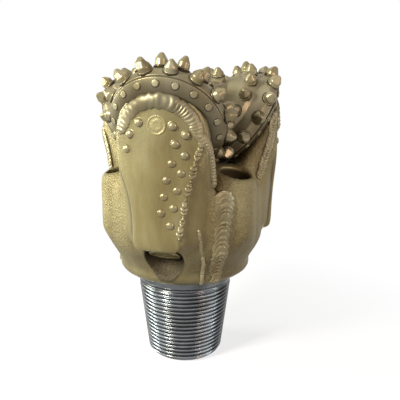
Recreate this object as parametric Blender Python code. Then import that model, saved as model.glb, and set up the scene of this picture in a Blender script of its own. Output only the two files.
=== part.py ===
"""Three-cone insert drill bit, standing on its threaded pin with the cones on top.

World axes: Z runs up the bit's axis from the pin nose (z = 0). Lengths below are in millimetres.
Leg frame: X points out through the middle of the leg, Z is the bit's axis.
Journal frame: Z points inward and up along the cone's own axis, X is the side nearest the gauge.
A height along the journal is called s, and s = 0 is the plane of the gauge circle.
"""

import math

import bmesh
import bpy
import numpy as np
from mathutils import Matrix, Vector

MM = 0.001
FIT = 0.3
WELD = 1e-4

# The legs, counted from the one in front
LEG_NAMES = ("a", "b", "c")
FRONT_LEG_DEG = 255.0
LEG_STEP_DEG = 360.0 / len(LEG_NAMES)

# Bit size and tapered pin, a 4-1/2 in regular rotary connection
GAUGE_R = 215.9 / 2
PIN_LENGTH = 107.95
PIN_NOSE_CREST_R = 90.475 / 2
PIN_TAPER_SHARE = 0.125
THREAD_DEPTH = 2.9
PIN_RELIEF_LENGTH = 12.7
PIN_RELIEF_R = 117.475 / 2
RELIEF_RUN_SHARE = 0.5
NOSE_CHAMFER = 3.0
PIN_BORE_R = 57.15 / 2
SHOULDER_R = 135.3 / 2

# Shank and body
SHANK_R = 74.8
SHOULDER_BEVEL = 5.2
SHANK_TOP_Z = 120.0
FLARE_SHARE = 0.60
BODY_R = 92.5
BODY_EDGE_Z = 214.5
BODY_TOP_Z = 221.0
CROTCH_R = 55.0
CHAMBER_R = 34.0
CHAMBER_LOW_Z = 100.0
CHAMBER_STEP_SHARE = 2.0
CHAMBER_HIGH_Z = 160.0
CHAMBER_TOP_Z = 186.0
DOME_POINTS = 4
SEAM_DEG = 36.0
SEAM_GAP = FIT

# Journal and cone placing
JOURNAL_DEG = 36.0
GAUGE_Z = 333.0
CONE_GAUGE_R = 61.0
ARM_FACE_S = -9.5
CONE_BACK_S = -8.0

# Arm of the leg: height, how far the face lies inside the gauge, half width of the face and of the arm
ARM_STATIONS = (
    (135.0, 26.95, 24.0, 42.0),
    (166.0, 4.35, 25.0, 46.0),
    (190.0, 3.75, 26.0, 48.0),
    (222.0, 2.95, 31.0, 50.0),
    (245.0, 1.95, 40.0, 50.0),
    (272.0, 0.95, 47.0, 48.8),
)
FACE_POINTS = 7
ARM_ROOT_X = 42.0
ARM_STEP_BACK = 0.8
ARM_CHAMFER_SHARE = 0.9
SHIRTTAIL_R = 49.6
SHIRTTAIL_RELIEF = 0.95
SHIRTTAIL_GAUGE_R = GAUGE_R - SHIRTTAIL_RELIEF
SHIRTTAIL_LOW_Z = 244.0
SHIRTTAIL_TURN_DEG = 2.0

# Journal steps, measured along the journal from the gauge circle
JOURNAL_ROOT_S = -19.0
JOURNAL_R = 26.0
JOURNAL_END_S = 26.4
RACE_S = 33.5
RACE_BALL_PITCH_R = 22.0
BALL_R = 5.5
BALL_COUNT = 13
RACE_ROOM = 0.8
RACE_END_S = 40.0
PILOT_R = 14.5
PILOT_END_S = 54.0
PILOT_CHAMFER = 1.0
PILOT_ROOM = 1.0
BUSH_WALL = 3.4
SEAL_GLAND_R = 35.0
SEAL_GLAND_DEPTH = 9.0
WASHER_R = 21.0
WASHER_THICK = 1.6

# Cone shell, given along the limit cone that keeps neighbouring cones apart
RIM_S = 10.5
RIM_R = 61.8
NOSE_S = 76.0
NOSE_R = 6.0
NOSE_EDGE = 1.0
HEEL_GROOVE = 0.9
LAND_DEPTH = 3.0
LAND_CHAMFER = 2.0
GROOVE_DEPTH = 10.0
LAND_HALF = 6.4
FIRST_ROW_FOOT = 26.0
ROW_PITCH = 9.0
ROWS_PER_CONE = 2

# Carbide inserts
GAUGE_INSERT_COUNT = 14
GAUGE_INSERT_R = 6.0
GAUGE_INSERT_S = 9.5
GAUGE_INSERT_LEAN_DEG = 12.0
INSERT_OUT = 11.0
INSERT_BARREL_OUT = 3.4
INSERT_TIP_SHARE = 0.24
INSERT_SEAT = 0.4
INSERT_SINK = 3.0
INNER_INSERT_R = 5.6
INNER_INSERT_OUT = 9.6
INNER_INSERT_PITCH = 25.0
FEWEST_IN_ROW = 3
ROW_STAGGER_SHARE = 0.5
HEEL_INSERT_COUNT = 18
HEEL_INSERT_R = 3.9
HEEL_INSERT_OUT = 0.8
HEEL_ROW_SHARE = 0.52
ROOM_PAST_GAUGE_ROW = 2.0

# Ball hole and its plug
BALL_HOLE_Z = 286.6
BALL_HOLE_R = BALL_R + 0.5
PLUG_BALL_GAP = 2.0
PLUG_HEAD_R = 9.4
PLUG_HEAD_DEPTH = 8.0
PLUG_CHAMFER = 1.0

# Grease reservoir: the pocket's axis runs down and outward from the cap
POCKET_DEG = 30.0
CAP_X = 80.0
CAP_Z = 153.0
POCKET_R = 21.5
POCKET_OUT = 62.0
CAP_THICK = 6.0
CAP_HOLE_R = 2.2
CAP_DISH_R = 13.3
CAP_DISH_DEPTH = 2.0
SNAP_RING_THICK = 2.4
SNAP_RING_WIDTH = 4.2
SNAP_GROOVE = 1.4
CANISTER_R = 19.6
CANISTER_WALL = 2.2
CANISTER_LENGTH = 38.0
DIAPHRAGM_THICK = 1.8
DIAPHRAGM_CUP_R = 14.6
DIAPHRAGM_CUP_DEPTH = 24.0
DIAPHRAGM_TAPER = 2.0
DIAPHRAGM_EDGE = 3.0

# Nozzle boss and nozzle
BOSS_DEG = -60.0
BOSS_R = 28.0
BOSS_AXIS_R = 72.0
BOSS_OUTER_R = 100.0
BOSS_LOW_Z = 140.0
BOSS_SINK = 2.0
NOZZLE_TILT_DEG = 16.0
MOUTH_R_POS = 77.0
MOUTH_Z = 233.0
PORT_R = 17.0
PORT_DEPTH = 48.0
PORT_TURN_DEG = -8.6
PASSAGE_R = 12.5
NOZZLE_R = 16.4
NOZZLE_LENGTH = 26.0
NOZZLE_EXIT_R = 6.5
NOZZLE_EXIT_CHAMFER = 3.0
NOZZLE_ENTRY_R = 12.0
NOZZLE_SEAT_DEPTH = 44.0
RETAINER_LENGTH = 5.0
RETAINER_BORE_R = 11.0
RETAINER_CHAMFER = 1.0
NOZZLE_SEAL_MINOR = 1.7

# Weld between two legs
SEAM_TOP_Z = 217.0
SEAM_LOW_Z = 110.5
SEAM_TOP_DEG = 37.5
SEAM_LOW_DEG = 33.5
SEAM_WIDTH_TOP = 23.0
SEAM_WIDTH_LOW = 12.0
SEAM_CROWN = 2.6
SEAM_ROOT = 7.0
SEAM_STEPS = 8
SEAM_END_SHARE = 1 / 12
SEAM_END_NARROW_SHARE = 0.75

# Hardfacing bead round the shirttail and down the arm's side
BEAD_WIDTH = 11.5
BEAD_CROWN = 1.2
BEAD_ROOT = 3.2
BEAD_ROOT_SHARE = 0.6
BEAD_MID_R = 40.6
BEAD_START_DEG = -66.0
BEAD_END_DEG = 78.0
BEAD_START_SHARE = 0.6
BEAD_END_SHARE = 0.5
BEAD_SIDE_Y = 45.5
BEAD_FOOT_Z = 226.0
BEAD_STEPS = 9
BEAD_SIDE_STEPS = 2
BEAD_ARC_POINTS = 5

# Facets round the turned surfaces
BODY_FACETS = 36
CONE_FACETS = 24
JOURNAL_FACETS = 20
ROUND_FACETS = 16
PORT_FACETS = 16
SMALL_FACETS = 10
INSERT_FACETS = 6
SEAL_FACETS = 5
RACE_POINTS = 4
FAN_DEG = 0.05
FLAT_DEG = 1.0
SMOOTH_DEG = 30.0

# Colours: red, green, blue, metalness, roughness
GOLD_PAINT = (0.42, 0.35, 0.19, 0.55, 0.42)
GOLD_BEAD = (0.46, 0.39, 0.22, 0.6, 0.36)
STEEL = (0.42, 0.43, 0.45, 1.0, 0.30)
BRONZE = (0.55, 0.36, 0.16, 1.0, 0.35)
RUBBER = (0.02, 0.02, 0.02, 0.0, 0.70)
SPRING_STEEL = (0.20, 0.20, 0.22, 1.0, 0.35)
CARBIDE = (0.30, 0.30, 0.31, 1.0, 0.30)


def clear_scene():
    """Empty the scene."""
    for obj in list(bpy.data.objects):
        bpy.data.objects.remove(obj, do_unlink=True)


def principled(name, finish):
    """One Principled material from a finish tuple."""
    red, green, blue, metal, rough = finish
    material = bpy.data.materials.new(name)
    material.use_nodes = True
    shader = material.node_tree.nodes["Principled BSDF"]
    shader.inputs["Base Color"].default_value = (red, green, blue, 1.0)
    shader.inputs["Metallic"].default_value = metal
    shader.inputs["Roughness"].default_value = rough
    return material


def object_of(bm, name="work"):
    """Turn a bmesh in millimetres into an object, with its faces pointing out."""
    bmesh.ops.recalc_face_normals(bm, faces=bm.faces)
    if bm.calc_volume(signed=True) < 0:
        bmesh.ops.reverse_faces(bm, faces=bm.faces)
    mesh = bpy.data.meshes.new(name)
    bm.to_mesh(mesh)
    bm.free()
    obj = bpy.data.objects.new(name, mesh)
    bpy.context.scene.collection.objects.link(obj)
    return obj


def turned(profile, facets, frame=None):
    """Spin a closed outline of (radius, height) points round Z into a ring, or a solid on the axis."""
    bm = bmesh.new()
    verts = [bm.verts.new((r, 0.0, z)) for r, z in profile]
    pairs = zip(verts, verts[1:] + verts[:1])
    edges = [bm.edges.new(pair) for pair in pairs if max(pair[0].co.x, pair[1].co.x) > 0.0]
    bmesh.ops.spin(bm, geom=verts + edges, cent=(0, 0, 0), axis=(0, 0, 1),
                   angle=math.tau, steps=facets, use_merge=True)
    bmesh.ops.remove_doubles(bm, verts=bm.verts, dist=WELD)
    bmesh.ops.dissolve_degenerate(bm, edges=bm.edges, dist=WELD)
    bmesh.ops.dissolve_limit(bm, angle_limit=math.radians(FAN_DEG), verts=bm.verts, edges=bm.edges)
    if frame is not None:
        bm.transform(frame)
    return object_of(bm)


def rod(radius, start, end, facets, frame=None):
    """A plain cylinder along Z."""
    return turned([(0, start), (radius, start), (radius, end), (0, end)], facets, frame)


def tube(inner, outer, start, end, facets):
    """A plain ring of rectangular section along Z."""
    return turned([(inner, start), (outer, start), (outer, end), (inner, end)], facets)


def lofted(rings):
    """Join equal rings of points into one closed skin with a face at each end."""
    bm = bmesh.new()
    rows = [[bm.verts.new(tuple(point)) for point in ring] for ring in rings]
    count = len(rows[0])
    for low, high in zip(rows, rows[1:]):
        for i in range(count):
            j = (i + 1) % count
            bm.faces.new((low[i], low[j], high[j], high[i]))
    bm.faces.new(list(reversed(rows[0])))
    bm.faces.new(rows[-1])
    bmesh.ops.triangulate(bm, faces=bm.faces)
    return object_of(bm)


def combine(target, other, operation):
    """Boolean one object with another for good, and drop the other."""
    modifier = target.modifiers.new("shape", "BOOLEAN")
    modifier.operation = operation
    modifier.solver = "EXACT"
    modifier.object = other
    bpy.context.view_layer.update()
    graph = bpy.context.evaluated_depsgraph_get()
    mesh = bpy.data.meshes.new_from_object(target.evaluated_get(graph))
    target.modifiers.clear()
    target.data = mesh
    bpy.data.objects.remove(other, do_unlink=True)
    return target


def join(target, *others):
    """Fuse solids."""
    for other in others:
        combine(target, other, "UNION")
    return target


def cut(target, *others):
    """Take solids away."""
    for other in others:
        combine(target, other, "DIFFERENCE")
    return target


def merged_copies(pieces):
    """Several solids that do not touch one another, as one object to boolean with."""
    bm = bmesh.new()
    for piece in pieces:
        bm.from_mesh(piece.data)
        bpy.data.objects.remove(piece, do_unlink=True)
    return object_of(bm)


def turn_z(degrees):
    """Rotation about the Z axis."""
    return Matrix.Rotation(math.radians(degrees), 4, "Z")


def frame_at(origin, z_axis, x_axis):
    """A matrix whose Z and X run as given and whose origin sits at a point."""
    z = Vector(z_axis).normalized()
    x = Vector(x_axis)
    x = (x - z * x.dot(z)).normalized()
    y = z.cross(x)
    matrix = Matrix((x, y, z)).transposed().to_4x4()
    matrix.translation = Vector(origin)
    return matrix


def journal_frame():
    """Journal frame in the leg frame: origin where the gauge circle's plane meets the journal."""
    tilt = math.radians(JOURNAL_DEG)
    origin = (GAUGE_R - CONE_GAUGE_R * math.sin(tilt), 0.0, GAUGE_Z - CONE_GAUGE_R * math.cos(tilt))
    return frame_at(origin, (-math.cos(tilt), 0, math.sin(tilt)), (math.sin(tilt), 0, math.cos(tilt)))


JOURNAL = journal_frame()
JOURNAL_X = JOURNAL.translation.x
JOURNAL_Z = JOURNAL.translation.z
TILT = math.radians(JOURNAL_DEG)

# A cone keeps to its third of the bit. The two planes that bound the third cut the cone's own
# axis at the bit's axis, and the round cone that just touches both of them is the limit cone.
HALF_THIRD = math.radians(LEG_STEP_DEG / 2)
LIMIT_SPREAD = math.hypot(math.cos(HALF_THIRD), math.sin(HALF_THIRD) * math.sin(TILT))
LIMIT_FALL_SHARE = math.sin(HALF_THIRD) * math.cos(TILT) / LIMIT_SPREAD
LIMIT_SLOPE = math.atan(LIMIT_FALL_SHARE)


def pocket_frame():
    """Reservoir frame in the leg frame: Z runs from the cap up into the leg."""
    lean = math.radians(POCKET_DEG)
    return frame_at((CAP_X, 0, CAP_Z), (-math.sin(lean), 0, math.cos(lean)), (0, 1, 0))


def nozzle_frame():
    """Nozzle frame in the leg frame: Z points out of the mouth."""
    tilt = math.radians(NOZZLE_TILT_DEG)
    out = turn_z(BOSS_DEG) @ Vector((1, 0, 0))
    origin = out * MOUTH_R_POS + Vector((0, 0, MOUTH_Z))
    return frame_at(origin, out * math.sin(tilt) + Vector((0, 0, math.cos(tilt))), out)


def ball_hole_frame():
    """Ball hole frame in the leg frame: Z runs from the race out to the leg's face."""
    race = JOURNAL @ Vector((-RACE_BALL_PITCH_R, 0, RACE_S))
    return frame_at(race, Vector((GAUGE_R, 0, BALL_HOLE_Z)) - race, (0, 1, 0))


def ball_hole_length():
    """Distance from the race to the gauge along the ball hole."""
    return (ball_hole_frame().inverted() @ Vector((GAUGE_R, 0, BALL_HOLE_Z))).z


def flare_r(z):
    """Radius of the shank's flare at a height."""
    return SHANK_R + FLARE_SHARE * (z - SHANK_TOP_Z)


def flare_z(radius):
    """Height at which the flare reaches a radius."""
    return SHANK_TOP_Z + (radius - SHANK_R) / FLARE_SHARE


def pin_root_r(z):
    """Radius of the pin at the bottom of its thread."""
    return PIN_NOSE_CREST_R - THREAD_DEPTH + PIN_TAPER_SHARE * z


def body_profile():
    """Outline of the welded body: pin, shoulder, shank, flare, crotch and the domed mud chamber."""
    relief_z = PIN_LENGTH - PIN_RELIEF_LENGTH
    relief_run = (PIN_RELIEF_R - pin_root_r(relief_z)) * RELIEF_RUN_SHARE
    chamber_run = (CHAMBER_R - PIN_BORE_R) * CHAMBER_STEP_SHARE
    dome = [(CHAMBER_R * math.cos(a), CHAMBER_HIGH_Z + (CHAMBER_TOP_Z - CHAMBER_HIGH_Z) * math.sin(a))
            for a in np.linspace(math.pi / 2, 0, DOME_POINTS)[1:]]
    return [
        (PIN_BORE_R, 0), (pin_root_r(0) - NOSE_CHAMFER, 0), (pin_root_r(NOSE_CHAMFER), NOSE_CHAMFER),
        (pin_root_r(relief_z), relief_z), (PIN_RELIEF_R, relief_z + relief_run),
        (PIN_RELIEF_R, PIN_LENGTH), (SHOULDER_R, PIN_LENGTH), (SHANK_R, PIN_LENGTH + SHOULDER_BEVEL),
        (SHANK_R, SHANK_TOP_Z), (BODY_R, flare_z(BODY_R)), (BODY_R, BODY_EDGE_Z),
        (BODY_R - (BODY_TOP_Z - BODY_EDGE_Z), BODY_TOP_Z), (0, BODY_TOP_Z),
        (0, CHAMBER_TOP_Z), *dome, (CHAMBER_R, CHAMBER_LOW_Z + chamber_run), (PIN_BORE_R, CHAMBER_LOW_Z),
    ]


def wedge():
    """Prism that takes one leg's share of the body, half a seam gap short on both sides."""
    low, high = math.radians(SEAM_DEG - LEG_STEP_DEG), math.radians(SEAM_DEG)
    middle = (low + high) / 2
    tip = np.array((math.cos(middle), math.sin(middle))) * SEAM_GAP / 2 / math.sin(HALF_THIRD)
    reach = 3 * GAUGE_R
    corners = [tip, tip + reach * np.array((math.cos(low), math.sin(low))),
               tip + reach * np.array((math.cos(high), math.sin(high)))]
    return lofted([[(x, y, z) for x, y in corners] for z in (-BODY_R, GAUGE_Z)])


def arm():
    """Arm of the leg with its shirttail arch, before the journal is added."""
    rings = []
    root = JOURNAL @ Vector((0, 0, ARM_FACE_S))
    for z, face_fall, face_half, side_half in ARM_STATIONS:
        face_r = GAUGE_R - face_fall
        face_x = math.sqrt(face_r ** 2 - face_half ** 2)
        side_x = face_x - ARM_CHAMFER_SHARE * (side_half - face_half)
        inner_x = max(ARM_ROOT_X, root.x - (root.z - z) * math.tan(TILT) + ARM_STEP_BACK)
        reach = math.asin(face_half / face_r)
        arc = [(face_r * math.cos(a), face_r * math.sin(a), z)
               for a in np.linspace(-reach, reach, FACE_POINTS)]
        rings.append([(inner_x, side_half, z), (inner_x, -side_half, z), (side_x, -side_half, z),
                      *arc, (side_x, side_half, z)])
    disc = rod(SHIRTTAIL_R, -GAUGE_R, ARM_FACE_S, 2 * ROUND_FACETS, JOURNAL @ turn_z(SHIRTTAIL_TURN_DEG))
    limit = rod(SHIRTTAIL_GAUGE_R, SHIRTTAIL_LOW_Z, GAUGE_Z, 2 * BODY_FACETS)
    return join(lofted(rings), combine(disc, limit, "INTERSECT"))


def boss():
    """Nozzle boss with its tilted top."""
    axis = turn_z(BOSS_DEG) @ Vector((BOSS_AXIS_R, 0, 0))
    column = rod(BOSS_R, BOSS_LOW_Z - BOSS_SINK, GAUGE_Z, ROUND_FACETS, Matrix.Translation(axis))
    limit = turned([(0, BOSS_LOW_Z), (flare_r(BOSS_LOW_Z) - BOSS_SINK, BOSS_LOW_Z),
                    (BOSS_OUTER_R, flare_z(BOSS_OUTER_R)), (BOSS_OUTER_R, GAUGE_Z), (0, GAUGE_Z)],
                   2 * BODY_FACETS)
    above = rod(2 * GAUGE_R, 0, GAUGE_Z, SMALL_FACETS, nozzle_frame())
    return cut(combine(column, limit, "INTERSECT"), above)


def cone_room():
    """Space that a turning cone and its inserts sweep, with room to spare."""
    reach = CONE_GAUGE_R + INSERT_OUT + INSERT_SINK
    middle = GAUGE_INSERT_S + ROOM_PAST_GAUGE_ROW
    back = (ARM_FACE_S + CONE_BACK_S) / 2
    return turned([(0, back), (CONE_GAUGE_R, back), (reach, middle - INSERT_OUT / 2),
                   (reach, middle + INSERT_OUT), (NOSE_R, NOSE_S + INSERT_OUT), (0, NOSE_S + INSERT_OUT)],
                  ROUND_FACETS, JOURNAL)


def race_points(side):
    """Ball race as (radius, s) points, hollow in the journal for side -1 and in the cone for side 1."""
    groove = BALL_R + RACE_ROOM
    return [(RACE_BALL_PITCH_R + side * groove * math.sin(a), RACE_S - groove * math.cos(a))
            for a in np.linspace(0, math.pi, RACE_POINTS)]


def journal():
    """Bearing journal with its ball race and pilot pin."""
    profile = [(0, JOURNAL_ROOT_S), (JOURNAL_R, JOURNAL_ROOT_S), (JOURNAL_R, JOURNAL_END_S),
               (RACE_BALL_PITCH_R, JOURNAL_END_S), *race_points(-1), (RACE_BALL_PITCH_R, RACE_END_S),
               (PILOT_R, RACE_END_S), (PILOT_R, PILOT_END_S - PILOT_CHAMFER),
               (PILOT_R - PILOT_CHAMFER, PILOT_END_S), (0, PILOT_END_S)]
    return turned(profile, JOURNAL_FACETS, JOURNAL)


def bead_section(width, crown, root, margin):
    """Cross-section of a bead as (sideways, outward) points: a low crown above, a narrower root below."""
    half = width / 2 + margin
    arc = [(half * math.cos(a), (crown + margin) * math.sin(a))
           for a in np.linspace(0, math.pi, BEAD_ARC_POINTS)]
    return arc + [(-half * BEAD_ROOT_SHARE, -root - margin), (half * BEAD_ROOT_SHARE, -root - margin)]


def bead_along(points, normals, widths, crown, root, margin):
    """Skin a bead along a path of points with outward normals."""
    rings = []
    for i, (point, normal, width) in enumerate(zip(points, normals, widths)):
        ahead = points[min(i + 1, len(points) - 1)] - points[max(i - 1, 0)]
        side = ahead.cross(normal).normalized()
        if i in (0, len(points) - 1):
            point = point + ahead.normalized() * margin * (1 if i else -1)
        rings.append([point + side * a + normal * b for a, b in bead_section(width, crown, root, margin)])
    return lofted(rings)


def seam_bead(margin=0.0):
    """Weld bead over the joint between this leg and the next one."""
    points, normals, widths = [], [], []
    for share in np.linspace(0, 1, SEAM_STEPS):
        z = SEAM_TOP_Z + (SEAM_LOW_Z - SEAM_TOP_Z) * share
        angle = math.radians(SEAM_TOP_DEG + (SEAM_LOW_DEG - SEAM_TOP_DEG) * share)
        radius = min(BODY_R, max(flare_r(z), SHANK_R - max(0, PIN_LENGTH + SHOULDER_BEVEL - z)))
        normal = Vector((math.cos(angle), math.sin(angle), 0))
        points.append(normal * radius + Vector((0, 0, z)))
        normals.append(normal)
        to_end = max(0.0, 1 - share / SEAM_END_SHARE)
        rounding = math.sqrt(1 - to_end ** 2 * SEAM_END_NARROW_SHARE)
        widths.append((SEAM_WIDTH_TOP + (SEAM_WIDTH_LOW - SEAM_WIDTH_TOP) * share) * rounding)
    return bead_along(points, normals, widths, SEAM_CROWN, SEAM_ROOT, margin)


def arm_side_point(y, z):
    """Point on the arm's face or side facet at a sideways place and a height."""
    heights, falls, halves = zip(*(station[:3] for station in ARM_STATIONS))
    radius, half = GAUGE_R - np.interp(z, heights, falls), np.interp(z, heights, halves)
    x = math.sqrt(radius ** 2 - half ** 2) - ARM_CHAMFER_SHARE * max(0.0, y - half)
    return Vector((min(x, math.sqrt(radius ** 2 - y ** 2)), y, z))


def shirttail_bead(margin=0.0):
    """Hardfacing bead round the shirttail's arch and down its leading edge."""
    points = []
    for degrees in np.linspace(BEAD_START_DEG, BEAD_END_DEG, BEAD_STEPS):
        y = BEAD_MID_R * math.sin(math.radians(degrees))
        up = BEAD_MID_R * math.cos(math.radians(degrees))
        x = math.sqrt(SHIRTTAIL_GAUGE_R ** 2 - y ** 2)
        s = (JOURNAL_X + up * math.sin(TILT) - x) / math.cos(TILT)
        points.append(Vector((x, y, JOURNAL_Z + s * math.sin(TILT) + up * math.cos(TILT))))
    last = points[-1]
    for share in np.linspace(0, 1, BEAD_SIDE_STEPS + 1)[1:]:
        points.append(arm_side_point(last.y + (BEAD_SIDE_Y - last.y) * share,
                                     last.z + (BEAD_FOOT_Z - last.z) * share))
    normals = [Vector((p.x, p.y, 0)).normalized() for p in points]
    widths = [BEAD_WIDTH] * len(points)
    widths[0] = BEAD_WIDTH * BEAD_START_SHARE
    widths[-1] = BEAD_WIDTH * BEAD_END_SHARE
    return bead_along(points, normals, widths, BEAD_CROWN, BEAD_ROOT, margin)


def nozzle_bores():
    """Nozzle port and the passage that feeds it from the mud chamber, as one cutter."""
    mouth = nozzle_frame()
    foot = mouth @ Vector((0, 0, -PORT_DEPTH))
    hub = turn_z(BOSS_DEG) @ Vector((PASSAGE_R, 0, CHAMBER_HIGH_Z - PASSAGE_R))
    passage = frame_at(hub, foot - hub, (0, 0, 1))
    port = rod(PORT_R, -PORT_DEPTH, PORT_R, PORT_FACETS, mouth @ turn_z(PORT_TURN_DEG))
    feed = rod(PASSAGE_R, 0, (foot - hub).length + PASSAGE_R / 2, SMALL_FACETS,
               passage @ turn_z(PORT_TURN_DEG))
    return join(port, feed)


def reservoir_pocket():
    """Reservoir pocket with its snap ring groove and the narrower bore of the canister."""
    deep = cap_span()[1] + FIT
    end = canister_start() + CANISTER_LENGTH + FIT
    groove_r = POCKET_R + SNAP_GROOVE
    return turned([(0, -POCKET_OUT), (POCKET_R, -POCKET_OUT), (POCKET_R, 0), (groove_r, 0),
                   (groove_r, SNAP_RING_THICK + FIT), (POCKET_R, SNAP_RING_THICK + FIT), (POCKET_R, deep),
                   (CANISTER_R + FIT, deep), (CANISTER_R + FIT, end), (0, end)], ROUND_FACETS, pocket_frame())


def ball_hole():
    """Ball loading hole with the wider bore of the plug's head."""
    out = ball_hole_length()
    step = out - PLUG_HEAD_DEPTH
    return turned([(0, 0), (BALL_HOLE_R, 0), (BALL_HOLE_R, step), (PLUG_HEAD_R + FIT, step),
                   (PLUG_HEAD_R + FIT, out + PLUG_HEAD_R), (0, out + PLUG_HEAD_R)],
                  SMALL_FACETS, ball_hole_frame())


def leg():
    """One forging: third of the pin and body, arm, boss and journal, with every hollow cut."""
    body = join(turned(body_profile(), BODY_FACETS), arm())
    combine(body, wedge(), "INTERSECT")
    join(body, boss())
    for neighbour in (-1, 0, 1):
        room = cone_room()
        room.data.transform(turn_z(LEG_STEP_DEG * neighbour))
        cut(body, room)
    join(body, journal())
    seam_before = seam_bead(FIT)
    seam_before.data.transform(turn_z(-LEG_STEP_DEG))
    return cut(body, nozzle_bores(), reservoir_pocket(), ball_hole(), seam_bead(FIT), seam_before,
               shirttail_bead(FIT))


def cap_span():
    """Where the reservoir cap's outer and inner faces lie along the pocket."""
    low = SNAP_RING_THICK + 2 * FIT
    return low, low + CAP_THICK


def canister_start():
    """How far past the cap's outer face the canister begins."""
    return cap_span()[1] + DIAPHRAGM_THICK + 2 * FIT


def limit_point(foot, depth):
    """Point (radius, s) at a depth under the limit cone, from where its foot at s meets that cone."""
    radius = math.sin(HALF_THIRD) * (JOURNAL_X - foot * math.cos(TILT)) / LIMIT_SPREAD
    return radius - depth * math.cos(LIMIT_SLOPE), foot - depth * math.sin(LIMIT_SLOPE)


def row_feet(index):
    """Where the inner rows of this cone stand; the rows of the three cones mesh in turn."""
    step = ROW_PITCH * len(LEG_NAMES)
    return [FIRST_ROW_FOOT + ROW_PITCH * index + step * row for row in range(ROWS_PER_CONE)]


def cone_profile(index):
    """Outside of one cone as (radius, s) points: back face, heel, rim, then lands and grooves."""
    heel = [(CONE_GAUGE_R + CONE_BACK_S / math.tan(TILT), CONE_BACK_S), (CONE_GAUGE_R, 0),
            (CONE_GAUGE_R - HEEL_GROOVE, HEEL_GROOVE / 2), (CONE_GAUGE_R, HEEL_GROOVE), (RIM_R, RIM_S)]
    rows = []
    last = FIRST_ROW_FOOT - LAND_HALF
    for foot in row_feet(index):
        low, high = foot - LAND_HALF, foot + LAND_HALF
        if low > last:
            rows += [limit_point(last, GROOVE_DEPTH), limit_point(low, GROOVE_DEPTH)]
        rows += [limit_point(low + LAND_CHAMFER, LAND_DEPTH), limit_point(high - LAND_CHAMFER, LAND_DEPTH)]
        last = high
    rows += [limit_point(last, GROOVE_DEPTH), limit_point(last + LAND_HALF, GROOVE_DEPTH)]
    kept = [(r, s) for r, s in rows if RIM_S + NOSE_EDGE < s < NOSE_S - NOSE_R and r > NOSE_R]
    return heel + kept + [(NOSE_R, NOSE_S - NOSE_EDGE), (NOSE_R / 2, NOSE_S), (0, NOSE_S)]


def cone_cavity():
    """Inside of a cone as (radius, s) points, from the back face to the pilot bore."""
    bush_r = JOURNAL_R + BUSH_WALL + 2 * FIT
    gland_s = CONE_BACK_S + SEAL_GLAND_DEPTH
    step_s = JOURNAL_END_S + FIT
    throat_r = RACE_BALL_PITCH_R + 2 * FIT
    thrust_s = RACE_END_S + WASHER_THICK + 2 * FIT
    end_s = PILOT_END_S + PILOT_ROOM
    open_s = 2 * CONE_BACK_S
    return [(SEAL_GLAND_R, open_s), (SEAL_GLAND_R, gland_s), (bush_r, gland_s), (bush_r, step_s),
            (throat_r, step_s), *race_points(1)[1:-1], (throat_r, thrust_s), (PILOT_R + FIT, thrust_s),
            (PILOT_R + FIT, end_s), (0, end_s), (0, open_s)]


def insert(radius, out):
    """Outline of one carbide insert along Z: buried foot, barrel, then a blunt cone."""
    return [(0, -INSERT_SINK), (radius, -INSERT_SINK), (radius, INSERT_BARREL_OUT),
            (radius * INSERT_TIP_SHARE, out), (0, out)]


def insert_ring(profile, count, radius, s, lean, phase):
    """A ring of inserts round the journal axis, each leaning from radial toward the nose."""
    ring = []
    for i in range(count):
        turn = Matrix.Rotation(math.tau * (i + phase) / count, 4, "Z")
        place = frame_at((radius, 0, s), (math.cos(lean), 0, math.sin(lean)), (0, 1, 0))
        ring.append(turned(profile, INSERT_FACETS, turn @ place))
    return merged_copies(ring)


def cone(index):
    """One rolling cone with its shell and its carbide inserts, in the journal frame."""
    shell = turned(cone_profile(index) + [(0, CONE_BACK_S)], CONE_FACETS)
    join(shell, insert_ring(insert(GAUGE_INSERT_R, INSERT_OUT), GAUGE_INSERT_COUNT, RIM_R - INSERT_SEAT,
                            GAUGE_INSERT_S, math.radians(GAUGE_INSERT_LEAN_DEG), index / len(LEG_NAMES)))
    inner = insert(INNER_INSERT_R, INNER_INSERT_OUT)
    for row, foot in enumerate(row_feet(index)):
        radius, s = limit_point(foot, LAND_DEPTH)
        count = max(FEWEST_IN_ROW, round(math.tau * radius / INNER_INSERT_PITCH))
        if radius * math.sin(math.pi / count) > INNER_INSERT_R:
            join(shell, insert_ring(inner, count, radius, s, LIMIT_SLOPE, ROW_STAGGER_SHARE * row))
    heel = [(0, -INSERT_SINK), (HEEL_INSERT_R, -INSERT_SINK), (HEEL_INSERT_R, HEEL_INSERT_OUT),
            (0, HEEL_INSERT_OUT)]
    heel_s = CONE_BACK_S * HEEL_ROW_SHARE
    join(shell, insert_ring(heel, HEEL_INSERT_COUNT, CONE_GAUGE_R + heel_s / math.tan(TILT), heel_s,
                            TILT - math.pi / 2, ROW_STAGGER_SHARE))
    return cut(shell, turned(cone_cavity(), JOURNAL_FACETS))


def journal_bush():
    """Bronze bush between journal and cone."""
    return tube(JOURNAL_R + FIT, JOURNAL_R + BUSH_WALL, CONE_BACK_S + SEAL_GLAND_DEPTH + FIT,
                JOURNAL_END_S - 2 * FIT, JOURNAL_FACETS)


def thrust_washer():
    """Washer between the journal's shoulder and the cone."""
    low = RACE_END_S + FIT
    return tube(PILOT_R + FIT, WASHER_R, low, low + WASHER_THICK, JOURNAL_FACETS)


def ring_section(centre_r, centre_z, minor):
    """Round section of an elastic ring."""
    return [(centre_r + minor * math.cos(a), centre_z + minor * math.sin(a))
            for a in np.linspace(0, math.tau, SEAL_FACETS, endpoint=False)]


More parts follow.
